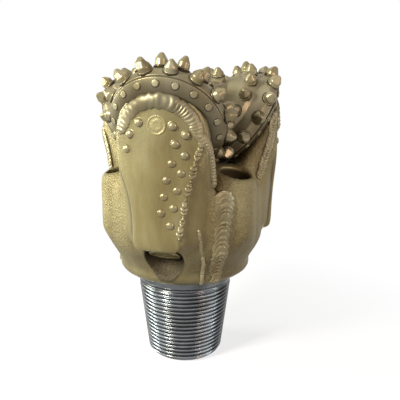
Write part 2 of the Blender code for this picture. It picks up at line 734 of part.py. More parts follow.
def seal_ring():
    """Elastic seal between the journal and the cone's gland."""
    minor = (SEAL_GLAND_R - JOURNAL_R) / 2 - FIT
    return turned(ring_section((SEAL_GLAND_R + JOURNAL_R) / 2, CONE_BACK_S + SEAL_GLAND_DEPTH / 2, minor),
                  JOURNAL_FACETS)


def locking_balls():
    """The full ball complement that locks the cone on; each ball just meets the next, as one body."""
    balls = None
    for i in range(BALL_COUNT):
        bm = bmesh.new()
        bmesh.ops.create_icosphere(bm, subdivisions=1, radius=BALL_R)
        bm.transform(Matrix.Rotation(math.tau * i / BALL_COUNT, 4, "Z")
                     @ Matrix.Translation((RACE_BALL_PITCH_R, 0, RACE_S)) @ Matrix.Rotation(math.pi / 2, 4, "X"))
        balls = object_of(bm) if balls is None else join(balls, object_of(bm))
    return balls


def ball_plug():
    """Retaining pin of the ball hole with its welded head."""
    out = ball_hole_length()
    face = out - SHIRTTAIL_RELIEF - FIT
    start, step = BALL_R + PLUG_BALL_GAP, out - PLUG_HEAD_DEPTH + FIT
    return turned([(0, start), (BALL_HOLE_R - FIT, start), (BALL_HOLE_R - FIT, step), (PLUG_HEAD_R, step),
                   (PLUG_HEAD_R, face - PLUG_CHAMFER), (PLUG_HEAD_R - PLUG_CHAMFER, face), (0, face)],
                  SMALL_FACETS, ball_hole_frame())


def reservoir_cap():
    """Cap of the reservoir, dished outside, with its pressure hole."""
    low, high = cap_span()
    dish = low + CAP_DISH_DEPTH
    return turned([(CAP_HOLE_R, dish), (CAP_DISH_R, dish), (CAP_DISH_R + CAP_DISH_DEPTH, low),
                   (POCKET_R - FIT, low), (POCKET_R - FIT, high - FIT), (CAP_HOLE_R, high - FIT)],
                  ROUND_FACETS)


def diaphragm():
    """Rubber diaphragm: a flange under the cap and a cup that reaches into the canister."""
    flange = cap_span()[1]
    end = flange + DIAPHRAGM_CUP_DEPTH
    foot_r = DIAPHRAGM_CUP_R - DIAPHRAGM_TAPER
    inner_end = end - DIAPHRAGM_THICK
    return turned([(CANISTER_R - FIT, flange + FIT), (CANISTER_R - FIT, flange + DIAPHRAGM_THICK),
                   (DIAPHRAGM_CUP_R, flange + DIAPHRAGM_THICK), (foot_r, end - DIAPHRAGM_EDGE),
                   (foot_r - DIAPHRAGM_EDGE, end), (0, end), (0, inner_end),
                   (foot_r - DIAPHRAGM_EDGE - DIAPHRAGM_THICK / 2, inner_end),
                   (foot_r - DIAPHRAGM_THICK, inner_end - DIAPHRAGM_EDGE + DIAPHRAGM_THICK / 2),
                   (DIAPHRAGM_CUP_R - DIAPHRAGM_THICK, flange + FIT)], ROUND_FACETS)


def canister():
    """Steel canister that holds the diaphragm, with a grease hole in its floor."""
    start = canister_start()
    end = start + CANISTER_LENGTH - FIT
    floor = end - CANISTER_WALL
    return turned([(CANISTER_R, start), (CANISTER_R, end), (CAP_HOLE_R, end), (CAP_HOLE_R, floor),
                   (CANISTER_R - CANISTER_WALL, floor), (CANISTER_R - CANISTER_WALL, start)], ROUND_FACETS)


def cap_snap_ring():
    """Ring that holds the cap in its pocket."""
    outer = POCKET_R + SNAP_GROOVE - FIT
    return tube(outer - SNAP_RING_WIDTH, outer, FIT, SNAP_RING_THICK, ROUND_FACETS)


def nozzle_span():
    """Lower and upper end of the nozzle and the height of its seal, along the nozzle."""
    low = -NOZZLE_SEAT_DEPTH
    return low, low + NOZZLE_LENGTH, low + NOZZLE_LENGTH / 3


def nozzle():
    """Carbide jet nozzle with its seal groove and its narrowing bore."""
    low, high, seal = nozzle_span()
    half = NOZZLE_SEAL_MINOR + FIT
    floor_r = NOZZLE_R - 2 * NOZZLE_SEAL_MINOR + FIT
    return turned([(NOZZLE_ENTRY_R, low), (NOZZLE_R, low), (NOZZLE_R, seal - half), (floor_r, seal - half),
                   (floor_r, seal + half), (NOZZLE_R, seal + half), (NOZZLE_R, high),
                   (NOZZLE_EXIT_R + NOZZLE_EXIT_CHAMFER, high), (NOZZLE_EXIT_R, high - NOZZLE_EXIT_CHAMFER),
                   (NOZZLE_EXIT_R, (low + high) / 2)], ROUND_FACETS)


def nozzle_seal():
    """Elastic ring in the nozzle's groove."""
    return turned(ring_section(PORT_R - FIT - NOZZLE_SEAL_MINOR, nozzle_span()[2], NOZZLE_SEAL_MINOR),
                  ROUND_FACETS)


def nozzle_retainer():
    """Ring that holds the nozzle in its port."""
    low = nozzle_span()[1] + FIT
    high = low + RETAINER_LENGTH
    return turned([(RETAINER_BORE_R, low), (NOZZLE_R, low), (NOZZLE_R, high),
                   (RETAINER_BORE_R + RETAINER_CHAMFER, high)], ROUND_FACETS)


def place(obj, name, finish, frame, leg_turn):
    """Name a finished piece, give it its material and put it where it belongs, in metres."""
    obj.name = obj.data.name = name
    bm = bmesh.new()
    bm.from_mesh(obj.data)
    bmesh.ops.dissolve_limit(bm, angle_limit=math.radians(FLAT_DEG), verts=bm.verts, edges=bm.edges)
    bmesh.ops.triangulate(bm, faces=bm.faces)
    bm.to_mesh(obj.data)
    bm.free()
    obj.data.transform(Matrix.Scale(MM, 4))
    obj.data.materials.clear()
    obj.data.materials.append(principled(name, finish))
    world = leg_turn @ frame
    world.translation = world.translation * MM
    obj.matrix_world = world
    obj.data.shade_smooth()
    obj.data.set_sharp_from_angle(angle=math.radians(SMOOTH_DEG))


def main():
    """Build the three legs and all that each carries."""
    clear_scene()
    still, pocket, mouth = Matrix.Identity(4), pocket_frame(), nozzle_frame()
    for index, letter in enumerate(LEG_NAMES):
        built = {
            "leg": (leg(), GOLD_PAINT, still),
            "cone": (cone(index), GOLD_PAINT, JOURNAL),
            "journal_bush": (journal_bush(), BRONZE, JOURNAL),
            "thrust_washer": (thrust_washer(), BRONZE, JOURNAL),
            "cone_seal": (seal_ring(), RUBBER, JOURNAL),
            "locking_balls": (locking_balls(), STEEL, JOURNAL),
            "ball_plug": (ball_plug(), GOLD_PAINT, still),
            "leg_weld": (seam_bead(), GOLD_BEAD, still),
            "shirttail_bead": (shirttail_bead(), GOLD_BEAD, still),
            "cap_snap_ring": (cap_snap_ring(), SPRING_STEEL, pocket),
            "reservoir_cap": (reservoir_cap(), STEEL, pocket),
            "diaphragm": (diaphragm(), RUBBER, pocket),
            "canister": (canister(), STEEL, pocket),
            "nozzle": (nozzle(), CARBIDE, mouth),
            "nozzle_seal": (nozzle_seal(), RUBBER, mouth),
            "nozzle_retainer": (nozzle_retainer(), STEEL, mouth),
        }
        leg_turn = turn_z(FRONT_LEG_DEG + LEG_STEP_DEG * index)
        for name, (obj, finish, frame) in built.items():
            place(obj, f"{name}_{letter}", finish, frame, leg_turn)


main()
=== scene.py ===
"""Dressed three-cone rock bit: painted legs, threaded pin, welds, rolling cones with carbide inserts."""

import logging
import math
from dataclasses import dataclass, field
from enum import Enum
from typing import Iterable, Sequence

import bmesh
import bpy
import numpy as np
from mathutils import Matrix, Vector


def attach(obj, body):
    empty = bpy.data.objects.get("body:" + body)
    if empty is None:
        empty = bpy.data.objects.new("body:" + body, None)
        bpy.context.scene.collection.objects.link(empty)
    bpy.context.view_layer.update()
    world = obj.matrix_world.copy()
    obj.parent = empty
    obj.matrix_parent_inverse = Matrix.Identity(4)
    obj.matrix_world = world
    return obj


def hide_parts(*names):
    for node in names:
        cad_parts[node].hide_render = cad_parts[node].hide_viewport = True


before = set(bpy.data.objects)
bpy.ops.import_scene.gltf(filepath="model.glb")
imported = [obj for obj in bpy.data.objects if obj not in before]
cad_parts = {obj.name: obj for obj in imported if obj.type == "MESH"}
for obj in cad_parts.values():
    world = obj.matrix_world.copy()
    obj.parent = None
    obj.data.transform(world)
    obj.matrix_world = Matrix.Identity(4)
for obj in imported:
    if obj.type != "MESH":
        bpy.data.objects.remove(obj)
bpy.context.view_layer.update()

LOG = logging.getLogger("bit")
MM = 0.001
TAU = 2 * math.pi
LEGS = "abc"
LEG_STEP_DEG = 120

Socket = bpy.types.NodeSocket
Triple = tuple[float, float, float]  # a colour or a place
Row = tuple[float, ...]  # values in a row, such as one for each station along a path
Span = tuple[float, float]  # where a ramp or a path starts and where it ends
Pair = tuple[float, float]  # two values that belong together, such as a corner's radius and height
Table = tuple[Row, Row]  # rising stations and the values there
Outline = Sequence[Pair]  # corners, most often as (radius, height)


class Slot(Enum):
    """Material slots of the record."""

    PAINT = "gold_paint"
    WELD = "weld_metal"
    STEEL = "bearing_steel"
    SPRING = "spring_steel"
    BRONZE = "bronze"
    RUBBER = "seal_rubber"
    CARBIDE = "carbide"


# Surfaces and outlines


@dataclass
class Surface:
    """A closed skin in millimetres.

    Attributes:
        points: One row of x, y, z for each point.
        quads: One row of four point numbers for each four-cornered face.
        tris: One row of three point numbers for each three-cornered face.
    """

    points: np.ndarray
    quads: np.ndarray
    tris: np.ndarray = field(default_factory=lambda: np.zeros((0, 3), int))

    def moved(self, matrix: Matrix) -> "Surface":
        """The same skin turned and shifted by a matrix.

        Args:
            matrix: A rotation and a shift in millimetres.
        Returns:
            A new skin.
        """
        table = np.array(matrix)
        return Surface(self.points @ table[:3, :3].T + table[:3, 3], self.quads, self.tris)

    def triangles(self) -> np.ndarray:
        """All faces as triangles."""
        return np.concatenate([self.quads[:, [0, 1, 2]], self.quads[:, [0, 2, 3]], self.tris])

    def facing_out(self) -> "Surface":
        """The same skin with every face turned outward.

        Returns:
            The skin itself, or its mirror-ordered faces where the enclosed volume came out negative.
            The volume is the sum over triangles of the corner products divided by six.
        """
        volume = np.linalg.det(self.points[self.triangles()]).sum()
        if volume < 0:
            return Surface(self.points, self.quads[:, ::-1], self.tris[:, ::-1])
        return self

    def normals(self) -> np.ndarray:
        """Unit normals at the points, as the area-weighted mean of the faces that meet there.

        Returns:
            One normal to a row.
        """
        corners = self.triangles()
        a, b, c = (self.points[corners[:, k]] for k in range(3))
        facing = np.cross(b - a, c - a)
        total = np.zeros_like(self.points)
        for k in range(3):
            for axis in range(3):
                total[:, axis] += np.bincount(corners[:, k], facing[:, axis], len(total))
        return total / np.maximum(np.linalg.norm(total, axis=1, keepdims=True), 1e-12)


def joined(skins: Iterable[Surface]) -> Surface:
    """Several skins as one.

    Args:
        skins: The skins to put together.
    Returns:
        One skin with the points and faces of all of them.
    """
    skins = [skin.facing_out() for skin in skins]
    starts = np.cumsum([0] + [len(skin.points) for skin in skins[:-1]])
    return Surface(np.concatenate([skin.points for skin in skins]),
                   np.concatenate([skin.quads + start for skin, start in zip(skins, starts)]),
                   np.concatenate([skin.tris + start for skin, start in zip(skins, starts)]))


def copies(skin: Surface, matrices: Sequence[Matrix]) -> Surface:
    """One skin repeated at several places.

    Args:
        skin: The skin to repeat.
        matrices: A rotation and a shift for each copy.
    Returns:
        All the copies as one skin.
    """
    return joined(skin.moved(matrix) for matrix in matrices)


def woven(rings: np.ndarray, loop: bool = False) -> Surface:
    """Skin over rings of points, each ring closed on itself.

    A point belongs to ring i and place j. Each face joins (i, j), (i, j + 1), (i + 1, j + 1) and
    (i + 1, j). Without a loop the first and the last ring are closed by fans to their mean point.

    Args:
        rings: Points by ring, place and axis.
        loop: Whether the last ring joins the first.
    Returns:
        The closed skin.
    """
    count, around, _ = rings.shape
    row = np.arange(count if loop else count - 1)[:, None]
    col = np.arange(around)[None, :]
    up, on = (row + 1) % count, (col + 1) % around
    quads = np.stack([row * around + col, row * around + on, up * around + on, up * around + col], -1)
    points = rings.reshape(-1, 3)
    if loop:
        return Surface(points, quads.reshape(-1, 4)).facing_out()
    ends = np.array([rings[0].mean(0), rings[-1].mean(0)])
    low, high = len(points), len(points) + 1
    j = np.arange(around)
    k = (j + 1) % around
    last = (count - 1) * around
    tris = np.concatenate([np.stack([k, j, np.full(around, low)], 1),
                           np.stack([last + j, last + k, np.full(around, high)], 1)])
    return Surface(np.concatenate([points, ends]), quads.reshape(-1, 4), tris).facing_out()


def eased(outline: Outline, radius: float, steps: int = 4, closed: bool = False) -> np.ndarray:
    """Outline with its corners rounded.

    Each corner is replaced by the parabola that leaves one side at a distance of radius from the
    corner, has the corner as its control point, and meets the other side at the same distance.

    Args:
        outline: Corner points.
        radius: How far from the corner the rounding starts, at most 0.45 of either side.
        steps: Points on each rounding.
        closed: Whether the last point joins the first.
    Returns:
        The rounded outline, one point to a row.
    """
    corner = np.asarray(outline, float)
    most = 0.45
    before, after = np.roll(corner, 1, 0), np.roll(corner, -1, 0)
    reach_in = np.linalg.norm(before - corner, axis=1, keepdims=True)
    reach_out = np.linalg.norm(after - corner, axis=1, keepdims=True)
    start = corner + (before - corner) * np.minimum(most, radius / np.maximum(reach_in, 1e-9))
    end = corner + (after - corner) * np.minimum(most, radius / np.maximum(reach_out, 1e-9))
    t = np.linspace(0, 1, steps)[None, :, None]
    bend = (1 - t) ** 2 * start[:, None] + 2 * t * (1 - t) * corner[:, None] + t ** 2 * end[:, None]
    if closed:
        return bend.reshape(-1, 2)
    return np.concatenate([corner[:1], bend[1:-1].reshape(-1, 2), corner[-1:]])


def round_axis(radius: np.ndarray, height: np.ndarray, places: int) -> np.ndarray:
    """Rings of points round Z: (radius cos a, radius sin a, height) at even angles a.

    Args:
        radius: Radius by ring, and by place where it changes round the axis.
        height: Height, laid out as the radius.
        places: Points round the axis.
    Returns:
        Points by ring, place and axis.
    """
    angle = np.arange(places) * TAU / places
    flat = np.broadcast_to(height, (len(height), places))
    return np.stack([radius * np.cos(angle), radius * np.sin(angle), flat], -1)


def outward(path: np.ndarray) -> np.ndarray:
    """Level unit directions from the axis out to the points of a path."""
    out = path * (1, 1, 0)
    return out / np.linalg.norm(out, axis=1, keepdims=True)


def path_at(degrees: np.ndarray, radius: np.ndarray, z: np.ndarray) -> tuple[np.ndarray, np.ndarray]:
    """Path at given angles and radii round Z and heights.

    Args:
        degrees: Angle of each point.
        radius: Radius of each.
        z: Height of each.
    Returns:
        The path, and the level directions out at its points.
    """
    angle = np.radians(degrees)
    out = np.stack([np.cos(angle), np.sin(angle), 0 * z], 1)
    path = out * radius[:, None]
    path[:, 2] = z
    return path, out


def turned(outline: np.ndarray, places: int, loop: bool = False) -> Surface:
    """Outline of (radius, height) points carried round Z.

    An outline that isn't a loop starts and ends on the axis, where a fan closes it.

    Args:
        outline: Radius and height by point.
        places: Points round the axis.
        loop: Whether the outline is closed on itself, away from the axis.
    Returns:
        The closed skin.
    """
    kept = np.asarray(outline, float) if loop else np.asarray(outline, float)[1:-1]
    skin = woven(round_axis(kept[:, :1], kept[:, 1:], places), loop)
    if not loop:
        skin.points[-2:] = [(0, 0, outline[0][1]), (0, 0, outline[-1][1])]
    return skin


def waves(points: np.ndarray, length: float, seed: int, count: int = 18) -> np.ndarray:
    """Smooth random field from -1 to 1 or so.

    The sum of plane cosine waves in seeded directions, all of about the same wavelength, over the
    root of their number.

    Args:
        points: Places to read the field at.
        length: Wavelength in millimetres.
        seed: Seed of the directions and phases.
        count: How many waves are added.
    Returns:
        One value for each point.
    """
    random = np.random.default_rng(seed)
    axis = random.normal(size=(count, 3))
    axis /= np.linalg.norm(axis, axis=1, keepdims=True)
    speed = TAU / length * random.uniform(0.7, 1.4, count)
    phase = points @ (axis * speed[:, None]).T + random.uniform(0, TAU, count)
    return np.cos(phase).sum(1) / math.sqrt(count)


def ramp(value: np.ndarray, low: float, high: float) -> np.ndarray:
    """Smooth step: 0 below low, 1 above high, and three t squared less two t cubed between."""
    t = np.clip((value - low) / (high - low), 0, 1)
    return t * t * (3 - 2 * t)


def turn_z(degrees: float) -> Matrix:
    """Rotation about Z."""
    return Matrix.Rotation(math.radians(degrees), 4, "Z")


def frame_at(origin: Sequence[float], z_axis: Sequence[float], x_axis: Sequence[float]) -> Matrix:
    """Matrix with its Z and X along given directions.

    Args:
        origin: Where the frame sits.
        z_axis: Direction of Z.
        x_axis: Rough direction of X, made square to Z.
    Returns:
        The matrix.
    """
    z = Vector(z_axis).normalized()
    x = Vector(x_axis)
    x = (x - z * x.dot(z)).normalized()
    matrix = Matrix((x, z.cross(x), z)).transposed().to_4x4()
    matrix.translation = Vector(origin)
    return matrix


def to_axis(points: np.ndarray, place: Matrix) -> tuple[np.ndarray, np.ndarray]:
    """Height along a frame's Z and distance from it.

    Args:
        points: Places, one to a row.
        place: The frame.
    Returns:
        One height and one distance for each point.
    """
    along = np.array(place.to_3x3().col[2])
    away = points - np.array(place.translation)
    height = away @ along
    return height, np.linalg.norm(away - np.outer(height, along), axis=1)


def linked(name: str, data: bpy.types.ID) -> bpy.types.Object:
    """New object in the scene.

    Args:
        name: Its name.
        data: Its mesh, lamp or camera.
    Returns:
        The object.
    """
    obj = bpy.data.objects.new(name, data)
    bpy.context.scene.collection.objects.link(obj)
    return obj


# Finishes


class Bench:
    """Lays out and wires the nodes of one material."""

    def __init__(self, name: str) -> None:
        """Start a material with nothing but its shader and output.

        Args:
            name: The material's name.
        """
        self.material = bpy.data.materials.new(name)
        self.material.use_nodes = True
        self.nodes = self.material.node_tree.nodes
        self.shader = self.nodes["Principled BSDF"]
        self.place = self.nodes.new("ShaderNodeTexCoord").outputs["Object"]

    def node(self, kind: str, **values: float) -> bpy.types.Node:
        """New node.

        Args:
            kind: Its type.
            values: Values of its sockets, by name with _ for a space.
        Returns:
            The node.
        """
        node = self.nodes.new(f"ShaderNode{kind}")
        for key, value in values.items():
            node.inputs[key.replace("_", " ")].default_value = value
        return node

    def join(self, source: Socket, target: Socket) -> None:
        """Wire one socket to another."""
        self.material.node_tree.links.new(source, target)

    def noise(self, scale: float, detail: float = 3.0, rough: float = 0.55,
              drawn: float = 1.0) -> Socket:
        """Cloudy pattern.

        Args:
            scale: Features to a metre.
            detail: Finer layers.
            rough: Weight of the finer layers.
            drawn: Share of the scale along Z, below one for upright streaks.
        Returns:
            The pattern's value.
        """
        stretch = self.node("VectorMath")
        stretch.operation = "MULTIPLY"
        stretch.inputs[1].default_value = (1.0, 1.0, drawn)
        self.join(self.place, stretch.inputs[0])
        node = self.node("TexNoise", Scale=scale, Detail=detail, Roughness=rough)
        self.join(stretch.outputs[0], node.inputs["Vector"])
        return node.outputs["Fac"]

    def attribute(self, name: str) -> Socket:
        """Value that the piece's points carry.

        Args:
            name: Name of the attribute.
        Returns:
            Its value.
        """
        node = self.node("Attribute")
        node.attribute_name = name
        return node.outputs["Fac"]

    def span(self, source: Socket, low: float, high: float, to_low: float, to_high: float) -> Socket:
        """Value carried from one span to another.

        Args:
            source: The value.
            low: Start of its span.
            high: End of its span.
            to_low: Start of the new span.
            to_high: End of the new span.
        Returns:
            The new value, held at its ends.
        """
        node = self.node("MapRange", From_Min=low, From_Max=high, To_Min=to_low, To_Max=to_high)
        self.join(source, node.inputs["Value"])
        return node.outputs["Result"]

    def maths(self, kind: str, a: Socket, b: Socket | float) -> Socket:
        """Sum, product or other operation on two values.

        Args:
            kind: The operation.
            a: First value.
            b: Second value, a socket or a number.
        Returns:
            The result.
        """
        node = self.node("Math")
        node.operation = kind
        self.join(a, node.inputs[0])
        if isinstance(b, (int, float)):
            node.inputs[1].default_value = b
        else:
            self.join(b, node.inputs[1])
        return node.outputs[0]

    def colours(self, factor: Socket, stops: Sequence[tuple[float, Triple]]) -> Socket:
        """Colour that follows a value.

        Args:
            factor: The value.
            stops: Places from 0 to 1 with their colours.
        Returns:
            The colour.
        """
        node = self.node("ValToRGB")
        while len(node.color_ramp.elements) < len(stops):
            node.color_ramp.elements.new(0.5)
        for element, (place, colour) in zip(node.color_ramp.elements, stops):
            element.position = place
            element.color = (*colour, 1.0)
        self.join(factor, node.inputs["Fac"])
        return node.outputs["Color"]

    def mixed(self, factor: Socket, a: Socket, b: Triple) -> Socket:
        """Mix of two colours.

        Args:
            factor: Share of the second colour.
            a: First colour.
            b: Second colour, the same everywhere.
        Returns:
            The mix.
        """
        node = self.node("Mix")
        node.data_type = "RGBA"
        first, second, mix = node.inputs[6], node.inputs[7], node.outputs[2]
        self.join(factor, node.inputs["Factor"])
        self.join(a, first)
        second.default_value = (*b, 1.0)
        return mix

    def bump(self, height: Socket, strength: float, depth: float,
             under: Socket | None = None) -> Socket:
        """Relief from a height.

        Args:
            height: The height pattern.
            strength: How much of it shows.
            depth: Its depth in metres.
            under: Relief that this one lies on.
        Returns:
            The bent normal.
        """
        node = self.node("Bump", Strength=strength, Distance=depth)
        self.join(height, node.inputs["Height"])
        if under is not None:
            self.join(under, node.inputs["Normal"])
        return node.outputs["Normal"]

    def wear(self, colour: Socket, rough: Socket, normal: Socket, metal: float,
             **plain: float | Row) -> bpy.types.Material:
        """Finish the shader.

        Args:
            colour: Base colour.
            rough: Roughness.
            normal: Relief.
            metal: Share of bare metal.
            plain: Other sockets, by name with _ for a space, and their values.
        Returns:
            The material.
        """
        self.join(colour, self.shader.inputs["Base Color"])
        self.join(rough, self.shader.inputs["Roughness"])
        self.join(normal, self.shader.inputs["Normal"])
        self.shader.inputs["Metallic"].default_value = metal
        for key, value in plain.items():
            self.shader.inputs[key.replace("_", " ")].default_value = value
        return self.material


@dataclass(frozen=True)
class GoldPaint:
    """Champagne paint with metal flake over forged steel.

    Attributes:
        light: Colour of the bright flake.
        body: Main colour.
        shade: Colour where the paint is thin.
        painted_dark: Colour of the painted shade in bores, pockets, creases and round the inserts, and of
            the darker lands.
        metal: Share of metal in the flake.
        gloss: Strength of the lacquer's own reflection.
        tint: Colour of that reflection.
        grain: Depth of the forged grain in metres.
        patches: Soft patches of colour to a metre.
        bumps: Bumps of a rough casting to a metre.
        flakes: Flakes to a metre.
    """

    light: Triple = (0.34, 0.295, 0.155)
    body: Triple = (0.255, 0.205, 0.090)
    shade: Triple = (0.195, 0.145, 0.064)
    painted_dark: Triple = (0.055, 0.042, 0.028)
    metal: float = 0.34
    gloss: float = 0.24
    tint: Row = (0.80, 0.74, 0.62, 1.0)
    grain: float = 0.0015
    patches: float = 38.0
    bumps: float = 480.0
    flakes: float = 1500.0

    def made(self, name: str) -> bpy.types.Material:
        """The material. Points carry cast, 0 on ground faces and 1 on rough castings, and soil, the share of
        painted shade.

        Args:
            name: The material's name.
        Returns:
            The material.
        """
        bench = Bench(name)
        cloud = bench.noise(self.patches, 4, drawn=0.3)
        fleck = bench.noise(self.flakes, 2)
        crust = bench.noise(self.bumps, 4, 0.6)
        cast, soil = bench.attribute("cast"), bench.attribute("soil")
        tone = bench.colours(cloud, [(0.30, self.shade), (0.47, self.body), (0.72, self.light)])
        high = bench.maths("MULTIPLY", bench.span(crust, 0.50, 0.68, 0, 0.8), cast)
        tone = bench.mixed(high, tone, self.light)
        pits = bench.maths("MULTIPLY", bench.span(crust, 0.46, 0.32, 0, 0.7), cast)
        tone = bench.mixed(pits, tone, self.shade)
        tone = bench.mixed(bench.span(fleck, 0.58, 0.75, 0, 0.35), tone, self.light)
        # Painted shade: each point's share of it darkens the colour towards the painted dark tone.
        tone = bench.mixed(soil, tone, self.painted_dark)
        rough = bench.span(cloud, 0.3, 0.7, 0.27, 0.35)
        rough = bench.maths("ADD", rough, bench.maths("MULTIPLY", cast, 0.14))
        rough = bench.maths("ADD", rough, bench.span(fleck, 0.4, 0.6, 0.0, 0.06))
        depth = bench.maths("ADD", bench.maths("MULTIPLY", cast, 0.85), 0.15)
        normal = bench.bump(bench.maths("MULTIPLY", crust, depth), 0.9, self.grain)
        normal = bench.bump(fleck, 0.22, self.grain / 6, normal)
        return bench.wear(tone, rough, normal, self.metal, Specular_IOR_Level=self.gloss,
                          Specular_Tint=self.tint)


@dataclass(frozen=True)
class TurnedSteel:
    """Bright steel with lathe lines that run round the axis.

    Attributes:
        pale: Colour of steel free of oil.
        dull: Colour under old oil.
        shadow_tone: Colour of the dirt at the thread's root.
        lines: Lathe lines to a metre of height.
        patches: Patches of oil to a metre.
        low: Lowest roughness.
        high: Highest roughness.
    """

    pale: Triple = (0.47, 0.50, 0.52)
    dull: Triple = (0.30, 0.31, 0.30)
    # shadow_tone: Colour of the painted shade over the pin and at the thread's root.
    shadow_tone: Triple = (0.018, 0.018, 0.02)
    lines: float = 900.0
    patches: float = 45.0
    low: float = 0.18
    high: float = 0.27

    def made(self, name: str) -> bpy.types.Material:
        """The material, with the lathe lines read from the height alone.

        Args:
            name: The material's name.
        Returns:
            The material.
        """
        bench = Bench(name)
        split = bench.node("SeparateXYZ")
        bench.join(bench.place, split.inputs[0])
        line = bench.node("TexNoise", Scale=self.lines, Detail=2)
        line.noise_dimensions = "1D"
        bench.join(split.outputs["Z"], line.inputs["W"])
        film_and_shade = bench.noise(self.patches, 4)
        tone = bench.colours(film_and_shade, [(0.35, self.dull), (0.62, self.pale)])
        tone = bench.mixed(bench.span(line.outputs["Fac"], 0.45, 0.8, 0, 0.15), tone, self.dull)
        # Painted shade, lifted along painted reflection streaks, darkens the steel towards the shadow tone.
        tone = bench.mixed(bench.attribute("soil"), tone, self.shadow_tone)
        rough = bench.span(film_and_shade, 0.3, 0.7, self.high, self.low)
        return bench.wear(tone, rough, bench.bump(line.outputs["Fac"], 0.08, 0.00004), 1.0)


@dataclass(frozen=True)
class PlainStock:
    """Metal or rubber with a fine grain and a little unevenness.

    Attributes:
        tone: Main colour.
        dark: Colour of the worn or soiled places.
        metal: Share of metal.
        low: Lowest roughness.
        high: Highest roughness.
        grain: Grains to a metre.
        patches: Patches of colour to a metre.
    """

    tone: Triple
    dark: Triple
    metal: float
    low: float
    high: float
    grain: float = 900.0
    patches: float = 70.0

    def made(self, name: str) -> bpy.types.Material:
        """The material, patches of its dark colour over its main one.

        Args:
            name: The material's name.
        Returns:
            The material.
        """
        bench = Bench(name)
        cloud, grain = bench.noise(self.patches, 3), bench.noise(self.grain, 3)
        tone = bench.colours(cloud, [(0.35, self.dark), (0.6, self.tone)])
        tone = bench.mixed(bench.span(grain, 0.55, 0.8, 0, 0.3), tone, self.dark)
        rough = bench.span(cloud, 0.3, 0.7, self.high, self.low)
        return bench.wear(tone, rough, bench.bump(grain, 0.3, 0.00008), self.metal)


FINISHES: dict[Slot, GoldPaint | TurnedSteel | PlainStock] = {
    Slot.PAINT: GoldPaint(),
    Slot.WELD: GoldPaint(light=(0.35, 0.31, 0.20), body=(0.265, 0.22, 0.12), shade=(0.20, 0.155, 0.08),
                         metal=0.5, gloss=0.25, grain=0.0003),
    Slot.STEEL: TurnedSteel(),
    Slot.SPRING: PlainStock(tone=(0.16, 0.155, 0.15), dark=(0.06, 0.055, 0.05),
                            metal=1.0, low=0.32, high=0.45),
    Slot.BRONZE: PlainStock(tone=(0.55, 0.36, 0.16), dark=(0.30, 0.19, 0.09),
                            metal=1.0, low=0.25, high=0.4),
    Slot.RUBBER: PlainStock(tone=(0.022, 0.022, 0.022), dark=(0.012, 0.012, 0.012),
                            metal=0.0, low=0.55, high=0.75, grain=400.0),
    Slot.CARBIDE: PlainStock(tone=(0.40, 0.37, 0.28), dark=(0.25, 0.21, 0.15),
                             metal=0.9, low=0.22, high=0.38, grain=1400.0),
}


@dataclass
class Workshop:
    """Turns skins into finished pieces and keeps the materials that they share.

    Attributes:
        materials: The materials made so far.
    """

    materials: dict[Slot, bpy.types.Material] = field(default_factory=dict)

    def material(self, slot: Slot) -> bpy.types.Material:
        """The shared material of a slot, made when it is first asked for.

        Args:
            slot: The slot.
        Returns:
            The material.
        """
        if slot not in self.materials:
            self.materials[slot] = FINISHES[slot].made(slot.value)
        return self.materials[slot]

    def piece(self, name: str, skin: Surface, slot: Slot, body: str, stands_for: Sequence[str] = (),
              cast: np.ndarray | float = 0.0, soil: np.ndarray | float = 0.0,
              sharp: float = 38.0) -> bpy.types.Object:
        """Make a skin into an object that rides on a body.

        Args:
            name: Name of the piece.
            skin: Its surface in millimetres.
            slot: Its material slot.
            body: The body that it rides on.
            stands_for: The solids that it replaces.
            cast: How rough the casting is at each point, or everywhere.
            soil: How dark the painted shade is at each point, or everywhere.
            sharp: Angle in degrees above which an edge stays sharp.
        Returns:
            The object.
        """
        skin = skin.facing_out()
        mesh = bpy.data.meshes.new(name)
        mesh.vertices.add(len(skin.points))
        mesh.vertices.foreach_set("co", (skin.points * MM).astype(np.float32).ravel())
        corners = np.concatenate([skin.quads.ravel(), skin.tris.ravel()]).astype(np.int32)
        sizes = np.repeat((4, 3), (len(skin.quads), len(skin.tris)))
        starts = np.concatenate([[0], np.cumsum(sizes)[:-1]]).astype(np.int32)
        mesh.loops.add(len(corners))
        mesh.loops.foreach_set("vertex_index", corners)
        mesh.polygons.add(len(sizes))
        mesh.polygons.foreach_set("loop_start", starts)
        mesh.update(calc_edges=True)
        mesh.validate()
        mesh.shade_smooth()
        mesh.set_sharp_from_angle(angle=math.radians(sharp))
        # Each point carries its cast and its share of painted shade.
        for key, value in (("cast", cast), ("soil", soil)):
            each = np.broadcast_to(value, len(mesh.vertices)).astype(np.float32)
            mesh.attributes.new(key, "FLOAT", "POINT").data.foreach_set("value", each)
        mesh.materials.append(self.material(slot))
        obj = linked(name, mesh)
        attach(obj, body)
        if stands_for:
            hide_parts(*stands_for)
        LOG.info("%s: %d points on %s", name, len(mesh.vertices), body)
        return obj

    def on_leg(self, letter: str, name: str, skin: Surface, slot: Slot, solid: str = "",
               place: Matrix = Matrix.Identity(4), **look: np.ndarray | float) -> None:
        """Make a piece that a leg carries and doesn't let move.

        Args:
            letter: The leg's letter, which is added to both names.
            name: Name of the piece.
            skin: Its surface in millimetres.
            slot: Its material slot.
            solid: Name of the solid that it replaces, if it does.
            place: Its place in the leg frame.
            look: Its cast, soil and sharp, as for a piece.
        """
        stands_for = (f"{solid}_{letter}",) if solid else ()
        self.piece(f"{name}_{letter}", skin.moved(SIZES.leg_turn(letter) @ place), slot, "bit_body",
                   stands_for, **look)

    def dress_solid(self, node: str, slot: Slot) -> None:
        """Give a solid that stays as it is its material.

        Args:
            node: The solid's node.
            slot: Its material slot.
        """
        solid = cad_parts[node]
        solid.data.materials.clear()
        solid.data.materials.append(self.material(slot))


# Sizes that several sub-assemblies share


